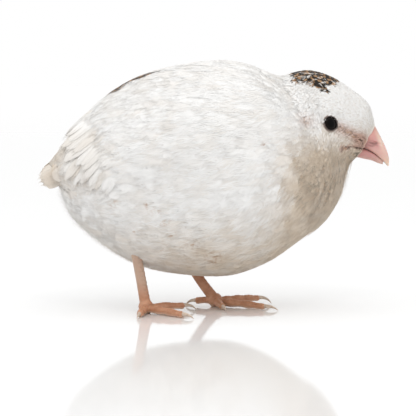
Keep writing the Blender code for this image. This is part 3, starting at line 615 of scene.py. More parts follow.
def plumage_material(name, count, depth, white=WHITE, root_end=0.5):
    """Vanes: markings, with painted shade towards the root, and barbs as bump."""
    made, tree, shader = new_material(name, 0.82)
    colour = use_group(tree, MARKINGS, White=white).outputs["Color"]
    barbs = use_group(tree, BARBS, Count=count, Slant=1.4)
    # Painted shade towards each feather's root, multiplied over the colour.
    shade = ramp(tree, barbs.outputs["Along"], (0.0, ROOT_SHADE), (root_end, (1.0, 1.0, 1.0)))
    colour = mix_colour(tree, 1.0, colour, shade, "MULTIPLY")
    tree.links.new(colour, shader.inputs["Base Color"])
    set_relief(tree, shader, barbs.outputs["Height"], 0.3, depth)
    shader.inputs["Sheen Weight"].default_value = 0.2
    shader.inputs["Specular IOR Level"].default_value = 0.2
    return made


def skin_material():
    """Bare skin under the coat: the coat's own markings over pink, with fine pores."""
    made, tree, shader = new_material("skin under the coat", 0.7)
    colour = use_group(tree, MARKINGS, White=SKIN_TONE).outputs["Color"]
    tree.links.new(colour, shader.inputs["Base Color"])
    pores = add(tree, "ShaderNodeTexVoronoi", {"Vector": object_place(tree), "Scale": 1800.0})
    set_relief(tree, shader, pores.outputs["Distance"], 0.4, 0.0001)
    return made


COAT = plumage_material("body feathers", 14.0, 0.00006)
FINE_COAT = plumage_material("fine feathers", 5.0, 0.00003, root_end=0.6)
VANES = plumage_material("wing and tail feathers", 34.0, 0.00008, white=VANE_WHITE)


# Feathers

FLAT_VANE_HEIGHT, PLUME_THICKNESS = 0.05, 0.08
SHAFT, ARCHED = 0.04, 1.2


def right_way(points_a, points_v, points_h, faces):
    """Turns a closed form over if its volume is negative; across runs to the left of the way it points."""
    form = np.stack((-points_a, points_v, points_h), -1)
    return face_outwards(form, faces)


def vane_side(grid):
    """Triangles of one side of a vane: a fan from the root point to the first row, then the grid's cells."""
    a, b, c, d = grid[:-1, :-1].ravel(), grid[1:, :-1].ravel(), grid[1:, 1:].ravel(), grid[:-1, 1:].ravel()
    first, second = grid[0, :-1], grid[0, 1:]
    fan = np.stack((first * 0, first, second), -1)
    return np.vstack((fan, np.stack((a, b, c), -1), np.stack((a, c, d), -1)))


def vane_form(columns, rows, tip_round=0.12, ragged=0.0, seed=0, thick=0.0):
    """One vane: a root point, then rows across; its underside joins the edges flat, or lies under by thick.

    Gives each point's share across and along, its height in millimetres, and the closed form's triangles."""
    draw = np.random.default_rng(seed)
    a = np.linspace(-1, 1, columns)
    v = 0.97 * np.linspace(0, 1, rows + 1)[1:] ** 0.85
    along = v[:, None] * (1 - tip_round * (a ** 2)[None, :] * v[:, None])
    along[-1] += ragged * draw.uniform(-1, 0.6, columns)
    across = np.tile(a, (rows, 1))
    height = np.zeros((rows, columns))
    above = 1 + np.arange(rows * columns).reshape(rows, columns)
    if thick > 0:
        inner = rows * (columns - 2)
        below = above.copy()
        below[:, 1:-1] = 1 + rows * columns + np.arange(inner).reshape(rows, columns - 2)
        made = [np.concatenate(((0.0,), grid.ravel(), grid[:, 1:-1].ravel())) for grid in (across, along)]
        made.append(np.concatenate(((0.0,), height.ravel(), np.full(inner, -thick))))
        top, under = above[-1], below[-1]
        rim = np.vstack((np.stack((top[:-1], under[:-1], under[1:]), -1),
                         np.stack((top[:-1], under[1:], top[1:]), -1)))
        rim = rim[(rim[:, 0] != rim[:, 1]) & (rim[:, 1] != rim[:, 2]) & (rim[:, 0] != rim[:, 2])]
    else:
        height[:, 1:-1] = FLAT_VANE_HEIGHT
        below = above[:, (0, -1)]
        made = [np.append(0.0, grid) for grid in (across, along, height)]
        top = above[-1]
        rim = np.stack((np.full(columns - 2, top[0]), top[2:], top[1:-1]), -1)
    faces = np.vstack((vane_side(above), vane_side(below)[:, ::-1], rim))
    return (*made, right_way(*made, faces))


def strand_form(starts, middles, ends, thick, tall):
    """Strands of three-cornered section: a ring at the start, a ring at the middle and a point at the end.

    The ring's corners lie to each side by the thickness and above by the height in millimetres."""
    count = len(starts)
    points = np.zeros((count, 7, 3))
    for ring, centre in ((0, starts), (3, middles)):
        points[:, ring:ring + 3] = centre[:, None, :]
        points[:, ring, 0] -= thick
        points[:, ring + 1, 0] += thick
        points[:, ring + 2, 2] += tall
    points[:, 6] = ends
    one = np.array(((0, 1, 2), (0, 3, 1), (1, 3, 4), (1, 4, 2), (2, 4, 5), (2, 5, 0), (0, 5, 3), (3, 6, 4),
                    (4, 6, 5), (5, 6, 3)))
    faces = np.concatenate([right_way(*points[k].T, one) + 7 * k for k in range(count)])
    return (*points.reshape(-1, 3).T, faces)


def join_forms(*forms):
    parts = [np.concatenate([form[k] for form in forms]) for k in range(3)]
    starts = np.cumsum([0] + [len(form[0]) for form in forms[:-1]])
    return (*parts, np.concatenate([form[3] + start for form, start in zip(forms, starts)]))


def plume_form(columns, rows, barbs, solid, first, reach, seed, thick=0.034):
    """A vane shrunk to its solid share, overlaid with barbs that run on past its edges as a loose fringe.

    A barb leaves the shaft, bends towards the tip and ends at its own share across, higher up the feather."""
    draw = np.random.default_rng(seed)
    a, v, h, faces = vane_form(columns, rows, seed=seed, thick=PLUME_THICKNESS if columns > 3 else 0.0)
    made = []
    for side in (-1, 1):
        start_v = np.linspace(first, 0.8, barbs) + draw.normal(0, 0.01, barbs)
        run = reach * draw.uniform(0.8, 1.15, barbs)
        level = np.zeros(barbs)
        start = np.stack((side * SHAFT + level, start_v, level - 0.03), -1)
        middle = np.stack((side * draw.uniform(0.36, 0.52, barbs), start_v + 0.5 * run, level + 0.03), -1)
        end = np.stack((side * draw.uniform(0.68, 1.1, barbs), start_v + run, level), -1)
        made.append(strand_form(start, middle, end, thick, 0.045))
    return join_forms((a * (0.4 + 0.6 * solid), v * solid, h, faces), *made)


def wisp_form():
    """A single loose strand along the way it points: a three-cornered root tapering to a point."""
    a, v, h = np.array(((-1.0, 0.0, 0.0), (1.0, 0.0, 0.0), (0.0, 0.0, 0.08), (0.0, 1.0, 0.0))).T
    return a, v, h, right_way(a, v, h, np.array(((0, 1, 2), (0, 3, 1), (1, 3, 2), (2, 3, 0))))


def vane_width(v, root=0.35, fullest=0.5):
    """Share of the half width along a feather: a quarter sine to the fullest part, then a quarter ellipse."""
    rise = root + (1 - root) * np.sin(np.clip(v / fullest, 0, 1) * PI / 2)
    fall = np.sqrt(np.clip(1 - (np.clip(v - fullest, 0, None) / (1.03 - fullest)) ** 2, 0.06, 1))
    return rise * fall


def spread_roots(spacing, u_low, u_high, seed, thin=None):
    """Roots over the body: one from each cell of a 3-D grid whose cells are as wide as the local spacing.

    Candidates are drawn evenly over the grid's area; spacing is a table over the section number."""
    draw = np.random.default_rng(seed)
    lane = (mesh_u >= u_low) & (mesh_u <= u_high) & (mesh_t < PI - 1e-6)
    area = np.linalg.norm(np.cross(DU, DT), axis=-1) * lane
    wanted = area / read_curve(spacing, mesh_u) ** 2
    weight = np.cumsum(wanted.ravel())
    step_u, step_t = grid_u[1] - grid_u[0], grid_t[1] - grid_t[0]
    count = int(weight[-1] * step_u * step_t * 7)
    pick = np.searchsorted(weight, draw.random(count) * weight[-1])
    u = mesh_u.ravel()[pick] + draw.uniform(-0.5, 0.5, count) * step_u
    turn = mesh_t.ravel()[pick] + draw.uniform(-0.5, 0.5, count) * step_t
    u = np.clip(u, u_low, u_high)
    level = np.round(np.log(read_curve(spacing, u)) / 0.12).astype(int)
    cell = np.exp(level * 0.12)
    place, _ = on_skin(u, turn)
    key = np.column_stack((np.floor(place / cell[:, None]).astype(int), level))
    _, first = np.unique(key, axis=0, return_index=True)
    first.sort()
    if thin is not None:
        first = first[thin(place[first], u[first], draw)]
    return u[first], turn[first], draw


def lie_of_coat(u, turn, normal, droop):
    """The way a feather points: back along the sections, turned down by the droop, more so on the breast and
    upwards over the shoulder."""
    back = -unit(read_grid(DU, u, turn))
    place = read_grid(SKIN, u, turn)
    breast = spot(place[:, 0], place[:, 2], (32, 38), (14, 16))
    shoulder = spot(place[:, 0], place[:, 2], (10, 80), (12, 8))
    droop = droop + 0.45 * breast - 0.4 * shoulder
    down = np.array((0.0, 0.0, -1.0)) - normal * (-normal[..., 2:3])
    way = back + down * droop[..., None]
    way = way - normal * np.sum(way * normal, axis=-1, keepdims=True)
    return unit(way)


def eye_face(side):
    """The place on the plumage in front of an eye, and the normal there, from the nearest grid point."""
    gap = (SHELL[..., 0] - EYE_X) ** 2 + (SHELL[..., 2] - EYE_Z) ** 2 + 1e3 * (SHELL[..., 1] * side < 0)
    i, j = np.unravel_index(np.argmin(gap), gap.shape)
    return SHELL[i, j], NORMAL[i, j]


def clear_of_eye(place, way, length, half):
    """Shortens feathers that point at an eye, so that they end outside its lids, and drops those on them."""
    keep = np.ones(len(length), bool)
    clear = LID_RADIUS + 0.7
    for side in (-1, 1):
        to = eye_face(side)[0] - place
        near = np.linalg.norm(to, axis=-1)
        t = np.sum(to * way, axis=-1)
        miss = np.sqrt(np.maximum(near ** 2 - t ** 2, 0))
        entry = t - np.sqrt(np.maximum(clear ** 2 - miss ** 2, 0))
        hits = (t > 0) & (miss < clear) & (near < 14)
        length = np.where(hits, np.minimum(length, np.maximum(entry, 0.0)), length)
        keep &= near > LID_RADIUS + 0.6 + 0.7 * half
    return length, keep & (length > 0.5)


def carry_over_skin(u, turn, offset):
    """Section numbers and turns of points given by offsets in the tangent planes of their roots.

    Each offset is turned into steps of section number and turn by least squares."""
    du, dt = read_grid(DU, u, turn), read_grid(DT, u, turn)
    a11, a12, a22 = (np.sum(p * q, axis=-1)[:, None] for p, q in ((du, du), (du, dt), (dt, dt)))
    b1 = np.einsum("ik,ijk->ij", du, offset)
    b2 = np.einsum("ik,ijk->ij", dt, offset)
    det = a11 * a22 - a12 ** 2
    return u[:, None] + (a22 * b1 - a12 * b2) / det, turn[:, None] + (a11 * b2 - a12 * b1) / det


def grow_feathers(name, form, u, turn, length, half, rise, droop, draw, finish, camber=0.03, sunk=0.12,
                  swing=0.09, curl=0.0, tilt=0.0, eyes=False, width=vane_width):
    """Feathers bedded on the skin: each point is carried along the surface from its feather's root.

    There the skin is read, and the point is lifted by sunk root, rising tip and arched middle."""
    place, normal = on_skin(u, turn)
    way = lie_of_coat(u, turn, normal, droop)
    side = np.cross(normal, way)
    turned = draw.normal(0, swing, len(u))[:, None]
    way, side = way * np.cos(turned) + side * np.sin(turned), side * np.cos(turned) - way * np.sin(turned)
    if eyes:
        length, keep = clear_of_eye(place, way, length, half)
        u, turn, way, side, normal = (v[keep] for v in (u, turn, way, side, normal))
        length, half, rise = length[keep], half[keep], rise[keep]
    count = len(u)
    a, v, h, faces = form
    wide = width(v)[None, :] * a[None, :] * half[:, None]
    far = v[None, :] * length[:, None]
    bend = curl * draw.normal(0, 1, count)
    wide = wide + (bend / np.maximum(length, 1e-6))[:, None] * far ** 2
    offset = way[:, None, :] * far[..., None] + side[:, None, :] * wide[..., None]
    points, normals = on_skin(*carry_over_skin(u, turn, offset))
    arch = camber * half[:, None] * (1 - np.minimum(np.abs(a), ARCHED) ** 2)[None, :] * np.sqrt(v)[None, :]
    climb = 1 - (1 - np.minimum(v, 1.0)) ** 1.6
    lift = -sunk + (rise[:, None] + sunk) * climb[None, :] + arch + h[None, :]
    lift = lift - tilt * normal[:, 1:2] * (a * v)[None, :]
    points = points + normals * lift[..., None]
    given = draw.random(count)
    marks = np.repeat(marks_at(points[:, len(v) // 2], given)[:, None, :], len(v), axis=1)
    marks[..., 1] = stain_at(points, given[:, None])
    bake = np.stack((u / BILL_END * 0.94 + 0.03, (turn + PI) / (2 * PI) * 0.94 + 0.03), -1)
    bake = bake[:, None, :] + patch_of(a, v)[None]
    faces = (faces[None] + (np.arange(count) * len(v))[:, None, None]).reshape(-1, 3)
    on_vane = np.tile(np.stack((a * 0.5 + 0.5, v), -1), (count, 1, 1))
    return {"name": name, "points": points.reshape(-1, 3), "faces": faces, "finish": finish,
            "per": len(form[3]), "vane": on_vane.reshape(-1, 2), "bake": bake.reshape(-1, 2),
            "marks": marks.reshape(-1, 4), "calm": normals.reshape(-1, 3)}


def patch_of(a, v):
    """A feather's own small patch on the map that is kept for baking."""
    return np.stack((a * 0.0015, v * 0.003), -1)


PIECE_LIMIT = 190000  # triangles


def coat_pieces(batch, slot="white plumage"):
    """Makes pieces of a batch of feathers, each under the limit of triangles, cut between feathers."""
    faces, per = batch["faces"], batch["per"]
    feathers = len(faces) // per
    parts = max(1, math.ceil(feathers / (PIECE_LIMIT // per)))
    corners = len(batch["points"]) // feathers
    bounds = np.linspace(0, feathers, parts + 1).astype(int)
    for k, (low, high) in enumerate(zip(bounds[:-1], bounds[1:])):
        rows = slice(low * corners, high * corners)
        name = batch["name"] if parts == 1 else f"{batch['name']}_{k + 1}"
        maps = {"OFBake": batch["bake"][rows], "Vane": batch["vane"][rows]}
        piece = make_piece(name, batch["points"][rows], faces[low * per:high * per] - low * corners,
                           batch["finish"], maps, {"marks": batch["marks"][rows]}, calm=batch["calm"][rows])
        finish_piece(piece, slot)


def fluffy(u, turn):
    """Where the coat is loose: low on the rear body."""
    return blend_step(np.abs(turn), 1.8, 2.6) * blend_step(-u, -6.0, -2.0)


def under_wing(place):
    """Where the flight feathers lie over the coat, from 0 to 1, in the side view."""
    along, across = on_wing(place[:, 0], place[:, 2])
    return blend_step(along, 0.56, 0.64) * blend_step(-np.abs(across), -13.0, -11.0)


def side_droop(turn, least, more):
    """How far feathers are turned down: least at back and belly, and more by a smooth step at the sides."""
    return least + more * blend_step(np.abs(np.sin(turn)), 0.3, 0.9)


def within_tail(length, u, turn, root_gap, past):
    """Lengths cut so that a feather reaches only so far past the tail end."""
    return np.minimum(length, (u + root_gap) * np.linalg.norm(read_grid(DU, u, turn), axis=-1) + past)


# Tables over the section number: spacing, length and rise in millimetres.
BODY_SPACING = ((0, 2.0), (2, 2.7), (4, 3.1), (7, 3.0), (9, 2.4), (10, 2.0))
BODY_LENGTH = ((0, 8.0), (2, 10.5), (4, 13.0), (7, 12.5), (9, 10.0), (10, 8.0))
NECK_SPACING = ((9.4, 2.0), (10, 1.6), (11, 1.25), (12.2, 1.0))
NECK_LENGTH = ((9.4, 8.0), (10.5, 6.5), (11.5, 5.0), (12.2, 4.0))
NECK_RISE = ((9.4, 0.66), (12.2, 0.5))
HEAD_SPACING = ((10.5, 1.0), (11, 0.66), (12, 0.5), (14, 0.38), (16, 0.32))
HEAD_LENGTH = ((10.5, 5.0), (11, 4.4), (12, 3.4), (13, 2.8), (14, 2.2), (15, 1.6), (16, 1.0))
HEAD_RISE = ((10.5, 0.75), (12, 0.48), (14, 0.28), (16, 0.14))
STRAND_SPACING = ((0, 0.75), (3, 0.9), (8, 0.9), (10, 0.75), (12, 0.64), (14, 0.7))
STRAND_LENGTH = ((0, 5.5), (4, 6.0), (8, 6.0), (10, 5.0), (12, 3.6), (14, 2.4))
STRAND_RISE = ((0, 0.62), (8, 0.62), (10, 0.62), (12, 0.5), (14, 0.34))


def body_plumes():
    """Broad soft plumes over the whole body, flatter under the folded wings."""
    plume = plume_form(5, 4, 9, 0.72, 0.2, 0.36, seed=1, thick=0.06)
    u, turn, draw = spread_roots(BODY_SPACING, 0.0, 10.0, ROOT_SEED)
    place, _ = on_skin(u, turn)
    length = read_curve(BODY_LENGTH, u) * draw.uniform(0.9, 1.1, len(u))
    half = length * draw.uniform(0.28, 0.32, len(u))
    length = within_tail(length, u, turn, 0.25, 1.5)
    rise = 0.5 + draw.normal(0, 0.02, len(u)) + 0.9 * fluffy(u, turn) * draw.random(len(u))
    rise = rise * (1 - 0.7 * under_wing(place))
    droop = side_droop(turn, 0.10, 0.22)
    coat_pieces(grow_feathers("feathers_body", plume, u, turn, length, half, rise, droop, draw, COAT,
                              curl=0.12, tilt=0.1))


def neck_plumes():
    """Narrower plumes from the breast to the back of the head."""
    plume = plume_form(3, 3, 5, 0.7, 0.2, 0.42, seed=2, thick=0.05)
    u, turn, draw = spread_roots(NECK_SPACING, 9.4, 12.2, ROOT_SEED + 1)
    low = blend_step(np.abs(turn), 1.5, 2.4)
    length = read_curve(NECK_LENGTH, u) * draw.uniform(0.85, 1.15, len(u)) * (1 + 0.3 * low)
    half = length * draw.uniform(0.17, 0.24, len(u)) * (1 - 0.35 * low)
    rise = read_curve(NECK_RISE, u) + draw.normal(0, 0.03, len(u)) + 0.4 * low
    droop = side_droop(turn, 0.10, 0.15)
    coat_pieces(grow_feathers("feathers_neck", plume, u, turn, length, half, rise, droop, draw, FINE_COAT,
                              curl=0.12, tilt=0.08, eyes=True))


def head_feathers():
    """Short narrow vanes over neck and head, thinned out at the lores."""
    vane = vane_form(3, 4, tip_round=0.4, ragged=0.1, seed=3)
    u, turn, draw = spread_roots(HEAD_SPACING, 10.5, 15.97, ROOT_SEED + 2, not_bare)
    low = blend_step(np.abs(turn), 1.6, 2.5)
    length = read_curve(HEAD_LENGTH, u) * draw.uniform(0.8, 1.2, len(u))
    length = length * (1 + 0.5 * low * blend_step(u, 10.0, 12.0))
    half = length * draw.uniform(0.07, 0.13, len(u))
    rise = read_curve(HEAD_RISE, u) * draw.uniform(0.85, 1.15, len(u)) + 0.5 * low * blend_step(u, 10.0, 12.5)
    droop = side_droop(turn, 0.12, 0.15)
    coat_pieces(grow_feathers("feathers_head", vane, u, turn, length, half, rise, droop, draw, FINE_COAT,
                              curl=0.15, swing=0.14, eyes=True))


def loose_strands():
    """Single strands over the other feathers, longer and looser low on the body."""
    u, turn, draw = spread_roots(STRAND_SPACING, 0.0, 14.0, ROOT_SEED + 3)
    place, _ = on_skin(u, turn)
    low = blend_step(np.abs(turn), 1.6, 2.5) * blend_step(u, 9.5, 11.0)
    length = read_curve(STRAND_LENGTH, u) * draw.uniform(0.7, 1.3, len(u))
    half = draw.uniform(0.08, 0.13, len(u))
    rise = read_curve(STRAND_RISE, u) * draw.uniform(0.9, 1.15, len(u))
    length = within_tail(length, u, turn, 0.3, 2.0)
    loose = draw.random(len(u)) ** 2
    rise = (rise + (2.0 * low + 3.0 * fluffy(u, turn)) * loose) * (1 - 0.7 * under_wing(place))
    length = length * (1 + 0.4 * loose * (low + fluffy(u, turn)))
    droop = side_droop(turn, 0.10, 0.22)
    coat_pieces(grow_feathers("strands", wisp_form(), u, turn, length, half, rise, droop, draw, FINE_COAT,
                              curl=0.3, swing=0.22, camber=0.0, eyes=True, width=np.ones_like))


def not_bare(place, u, draw):
    """Keeps feathers off the mouth and thins them in front of the eye."""
    lore = spot(place[:, 0], place[:, 2], (52.5, 65.0), (5.0, 3.2)) * (u > 12)
    mouth = distance_to_line(place[:, 0], place[:, 2], MOUTH)
    shut = (mouth < 0.35) & (u > 12.5) & (np.abs(place[:, 1]) > MIDDLE_STRIP)
    return (draw.random(len(u)) > 0.45 * lore) & ~shut


def build_skin():
    """One skin over torso, neck, head, wings and tail stub: the surface grid, closed at bill and tail."""
    rows, columns = 321, 240
    u = np.linspace(0, BILL_END, rows)
    turn = np.linspace(-PI, PI, columns + 1)[:-1]
    uu, tt = np.meshgrid(u, turn, indexing="ij")
    points, _ = on_skin(uu, tt)
    flat, tris = closed_tube(points)
    tris = face_outwards(flat, tris)
    at_u = np.concatenate((uu.ravel(), (0.0, BILL_END)))
    at_t = np.concatenate((tt.ravel(), (0.0, 0.0)))
    corner_u = at_u[tris] / BILL_END * 0.94 + 0.03
    corner_t = (at_t[tris] + PI) / (2 * PI)
    wrapped = (corner_t.max(axis=1) - corner_t.min(axis=1)) > 0.5
    corner_t = np.where(wrapped[:, None] & (corner_t < 0.5), corner_t + 1, corner_t) * 0.94 + 0.03
    bake = np.stack((corner_u, corner_t), -1)
    marks = marks_at(flat, np.full(len(flat), 0.5))
    skin = make_piece("skin_body", flat, tris, skin_material(), {"OFBake": bake}, {"marks": marks})
    finish_piece(skin, "white plumage", "torso", "neck", "head")


# Wing and tail feathers

def side_half(x, z):
    """Half width of the plumage shell at points of the side view, by halving the range of section numbers."""
    low, high = np.zeros(np.shape(x)), np.full(np.shape(x), BILL_END)
    for _ in range(24):
        middle = (low + high) / 2
        row = smooth_rows(SECTIONS, middle)
        back_x, back_z = row[..., 0], row[..., 1]
        run_x, run_z = row[..., 2] - back_x, row[..., 3] - back_z
        ahead = run_x * (z - back_z) - run_z * (x - back_x) > 0
        low, high = np.where(ahead, middle, low), np.where(ahead, high, middle)
    down = ((x - back_x) * run_x + (z - back_z) * run_z) / (run_x ** 2 + run_z ** 2)
    kept = np.clip(down, 0, 1)
    half = row[..., 4] + (row[..., 5] - row[..., 4]) * kept * kept * (3 - 2 * kept)
    return half * 2 * np.sqrt(np.clip(down * (1 - down), 0.03, None)) + wing_swell(x, z)


def on_side(x, z, lift, side):
    """Points of the side view set on the body's side, lifted along the side's own normal, and that normal."""
    step, steepest = 1.0, 1.4
    half = side_half(x, z)
    slope_x = (side_half(x + step, z) - side_half(x - step, z)) / (2 * step)
    slope_z = (side_half(x, z + step) - side_half(x, z - step)) / (2 * step)
    slope_x, slope_z = (np.clip(slope, -steepest, steepest) for slope in (slope_x, slope_z))
    normal = unit(np.stack((-slope_x, side * np.ones_like(x), -slope_z), -1))
    return np.stack((x, side * half, z), -1) + normal * lift[:, None], normal


# Tiers of wing feathers: how many, lowest and highest root, slopes, bend, lengths, half width, lift at tip.
WING_TIERS = (
    (8, (-21.0, 51.0), (-25.5, 73.0), (18.0, 28.0), 7.0, (15.0, 15.0), 3.4, -0.3),
    (9, (-28.5, 50.0), (-31.5, 72.0), (24.0, 34.0), 12.0, (15.5, 14.0), 3.0, -0.05),
    (13, (-33.0, 56.0), (-43.0, 70.5), (64.0, 58.0), 8.0, (13.0, 25.0), 1.5, 0.2),
    (10, (-35.0, 63.5), (-37.5, 76.0), (48.0, 36.0), 9.0, (19.5, 23.0), 1.7, 0.45),
    (4, (-41.5, 66.0), (-41.5, 76.0), (48.0, 42.0), 5.0, (21.0, 18.5), 1.6, 0.7),
)
SOFT_TIERS = 2  # tiers of loose coverts, ahead of the flight feathers
SOFT_STRAY, FIRM_STRAY = 1.1, 0.4
WING_SUNK, WING_TILT, WING_ARCH = 1.1, 0.08, 0.10


def wing_feather(form, root, slope, bend, length, half, top, side):
    """A wing feather: it runs back and down at a slope that grows by its bend, and is lifted over the side.

    The lift rises from the sunk root to the tip, is greater at the lower edge, and is arched across."""
    a, v, h, _ = form
    wide = half * vane_width(v, 0.45) * a
    turn = np.radians(slope + bend * v * 0.5)
    lean = np.radians(slope + bend * v)
    x = root[0] - length * v * np.cos(turn) - np.sin(lean) * wide
    z = root[1] - length * v * np.sin(turn) + np.cos(lean) * wide
    lift = -WING_SUNK + (top + WING_SUNK) * blend_step(v, 0.0, 1.0) - WING_TILT * a * blend_step(v, 0.1, 0.5)
    lift = lift + WING_ARCH * (1 - np.minimum(np.abs(a), ARCHED) ** 2) * blend_step(v, 0.0, 0.4) + h
    return on_side(x, z, lift, side)


def wing_feathers(side, label):
    """The wing's tiers: vanes that follow the side back and down, each lower edge over its neighbour."""
    firm = plume_form(9, 12, 44, 0.93, 0.12, 0.26, seed=5)
    soft = plume_form(9, 12, 44, 0.75, 0.12, 0.34, seed=7)
    draw = np.random.default_rng(ROOT_SEED + 5)
    points, marks, bake, calm = [], [], [], []
    for tier, (count, low, high, slopes, bend, lengths, half, top) in enumerate(WING_TIERS):
        form, stray = (soft, SOFT_STRAY) if tier < SOFT_TIERS else (firm, FIRM_STRAY)
        a, v = form[:2]
        for share in np.linspace(0, 1, count):
            root = np.array(low) + (np.array(high) - np.array(low)) * share + draw.normal(0, stray, 2)
            slope = slopes[0] + (slopes[1] - slopes[0]) * share + draw.normal(0, 1 + 3 * stray)
            length = (lengths[0] + (lengths[1] - lengths[0]) * share) * draw.uniform(0.94, 1.06)
            wide = half * draw.uniform(0.9, 1.1)
            made, normal = wing_feather(form, root, slope, bend, length, wide, top, side)
            points.append(made)
            calm.append(normal)
            marks.append(marks_at(made, np.full(len(v), draw.random())))
            on_map = np.array((0.03 + 0.94 * (root[0] + 62) / 126, 0.012 if side < 0 else 0.985))
            bake.append(on_map + patch_of(a, v) + np.array((0.0, 0.0005 * tier)))
    piece = flat_feathers(f"feathers_wing_{label}", firm, points, marks, bake, calm)
    finish_piece(piece, "flight feathers", f"wing_{label}")


def flat_feathers(name, form, points, marks, bake, calm):
    """One mesh of large feathers; a wing whose faces point in is turned over."""
    a, v, _, faces = form
    count = len(points)
    faces = (faces[None] + (np.arange(count) * len(v))[:, None, None]).reshape(-1, 3)
    points = np.vstack(points)
    maps = {"OFBake": np.vstack(bake), "Vane": np.tile(np.stack((a * 0.5 + 0.5, v), -1), (count, 1))}
    return make_piece(name, points, face_outwards(points, faces), VANES, maps, {"marks": np.vstack(marks)},
                      calm=np.vstack(calm))


TAIL_ROOT = (-54.6, 58.3)
TAIL_FEATHERS, TAIL_COVERTS, TAIL_TIERS = 6, 5, 3


def tail_feather(form, root, pitch, yaw, roll, length, half):
    """A tail feather: from its root back and down, spread by its yaw, rolled as a roof is, and drooping."""
    a, v, h, _ = form
    pitch, yaw, roll = (math.radians(w) for w in (pitch, yaw, roll))
    way = np.array((-math.cos(pitch) * math.cos(yaw), math.cos(pitch) * math.sin(yaw), -math.sin(pitch)))
    level = unit(np.cross(way, (0.0, 0.0, 1.0)))
    across = level * math.cos(roll) + np.cross(level, way) * math.sin(roll)
    normal = np.cross(across, way)
    normal = normal * (1 if normal[2] > 0 else -1)
    wide = half * vane_width(v, 0.5, 0.6) * a
    high = -0.09 * length * v ** 2 - 0.12 * half * a ** 2 + 0.15 * np.sqrt(v) + h
    made = np.asarray(root) + way * (length * v)[:, None] + across * wide[:, None] + normal * high[:, None]
    return made, np.tile(normal, (len(v), 1))


def build_tail():
    """Tail feathers stepped down and out from the middle on each side, under tiers of shorter coverts."""
    form = plume_form(9, 12, 40, 0.95, 0.12, 0.24, seed=6)
    a, v = form[:2]
    draw = np.random.default_rng(ROOT_SEED + 7)
    made = []
    for place in range(TAIL_FEATHERS):
        for side in (-1, 1):
            root = (TAIL_ROOT[0] + 0.8, side * (2.0 + 0.7 * place),
                    TAIL_ROOT[1] - 1.4 - 1.35 * place - 0.2 * (side > 0))
            pitch = 29 - 2.0 * place + draw.normal(0, 1.2)
            length = 11.4 + 1.1 * math.sin(0.75 * place) - 0.25 * place
            made.append(tail_feather(form, root, pitch, side * (2 + 2 * place), -side * (32 + 9 * place),
                                     length, 3.1))
    for tier in range(TAIL_TIERS):
        for place in range(TAIL_COVERTS):
            for side in (-1, 1):
                root = (TAIL_ROOT[0] + 1.5 + 2.5 * tier, side * (1.7 + 1.5 * place),
                        TAIL_ROOT[1] + 2.4 + 2.4 * tier - 1.9 * place - 0.2 * (side > 0))
                pitch = 40 - 1.0 * place + draw.normal(0, 3)
                made.append(tail_feather(form, root, pitch, side * (4 + 4 * place), -side * (30 + 11 * place),
                                         9.0 - 0.4 * place, 2.5))
    points, calm = zip(*made)
    marks = [marks_at(each, np.full(len(v), draw.random())) for each in points]
    bake = [np.array((0.012, 0.05 + 0.9 * k / len(points))) + patch_of(a, v) for k in range(len(points))]
    finish_piece(flat_feathers("feathers_tail", form, points, marks, bake, calm), "flight feathers", "tail")


# Bill

BILL_ROOT = -0.5  # row number at which the jaws start, inside the head
FLAP, FLAP_SIZE = (58.3, 63.4), (2.2, 1.8)
HORN = (0.0, (0.56, 0.27, 0.23)), (0.45, (0.66, 0.34, 0.32)), (0.78, (0.72, 0.47, 0.40))
UPPER_TIP, LOWER_TIP = (0.74, 0.58, 0.44), (0.68, 0.50, 0.39)
# The bill's dark tone is painted shade at the jaws' edges, in the slit and round the flap; the pale one is a
# painted highlight down the ridge.
BILL_SHADE, BILL_HIGHLIGHT = (0.13, 0.05, 0.04), (0.78, 0.60, 0.49)


def bill_half(table, ridge, v, turn):
    """Bill surface: from ridge to tomium by half a cosine of the turn, as wide as a sine to the power 0.8."""
    row = smooth_rows(table, v)
    narrow, broad = (0, 2) if ridge == "top" else (2, 0)
    down = (1 - np.cos(turn)) / 2
    sine = np.sin(turn)
    half = row[..., 4] * (0.62 + 0.38 * down) * np.sign(sine) * np.abs(sine) ** 0.8
    x = row[..., narrow] + (row[..., broad] - row[..., narrow]) * down
    z = row[..., narrow + 1] + (row[..., broad + 1] - row[..., narrow + 1]) * down
    return np.stack((x, half, z), -1)


def bill_material(name, tip, along_from, along_to):
    """Pink horn, paler and yellower to the tip, with fine lengthwise grain; the tone attribute adds painted
    shade and a painted highlight down the ridge.
    """
    made, tree, shader = new_material(name, 0.38)
    place = object_place(tree)
    height = add(tree, "ShaderNodeSeparateXYZ", {"Vector": place}).outputs["Z"]
    down = add(tree, "ShaderNodeMapRange", {"Value": height, "From Min": along_from, "From Max": along_to})
    uneven = math_node(tree, "SUBTRACT", noise(tree, place, 420.0, 3.0), 0.5)
    mixed = math_node(tree, "MULTIPLY_ADD", uneven, 0.5, down.outputs["Result"])
    tones, _ = read_shares(tree, "tone")
    colour = ramp(tree, mixed, *HORN, (1.0, tip))
    colour = mix_colour(tree, tones["Red"], colour, BILL_SHADE)
    # Painted highlight down the ridge.
    colour = mix_colour(tree, tones["Green"], colour, BILL_HIGHLIGHT)
    tree.links.new(colour, shader.inputs["Base Color"])
    set_relief(tree, shader, noise(tree, place, 900.0, 4.0), 0.25, 0.00006)
    set_flesh(shader, 0.25, (1.0, 0.35, 0.25), 0.0015)
    return made


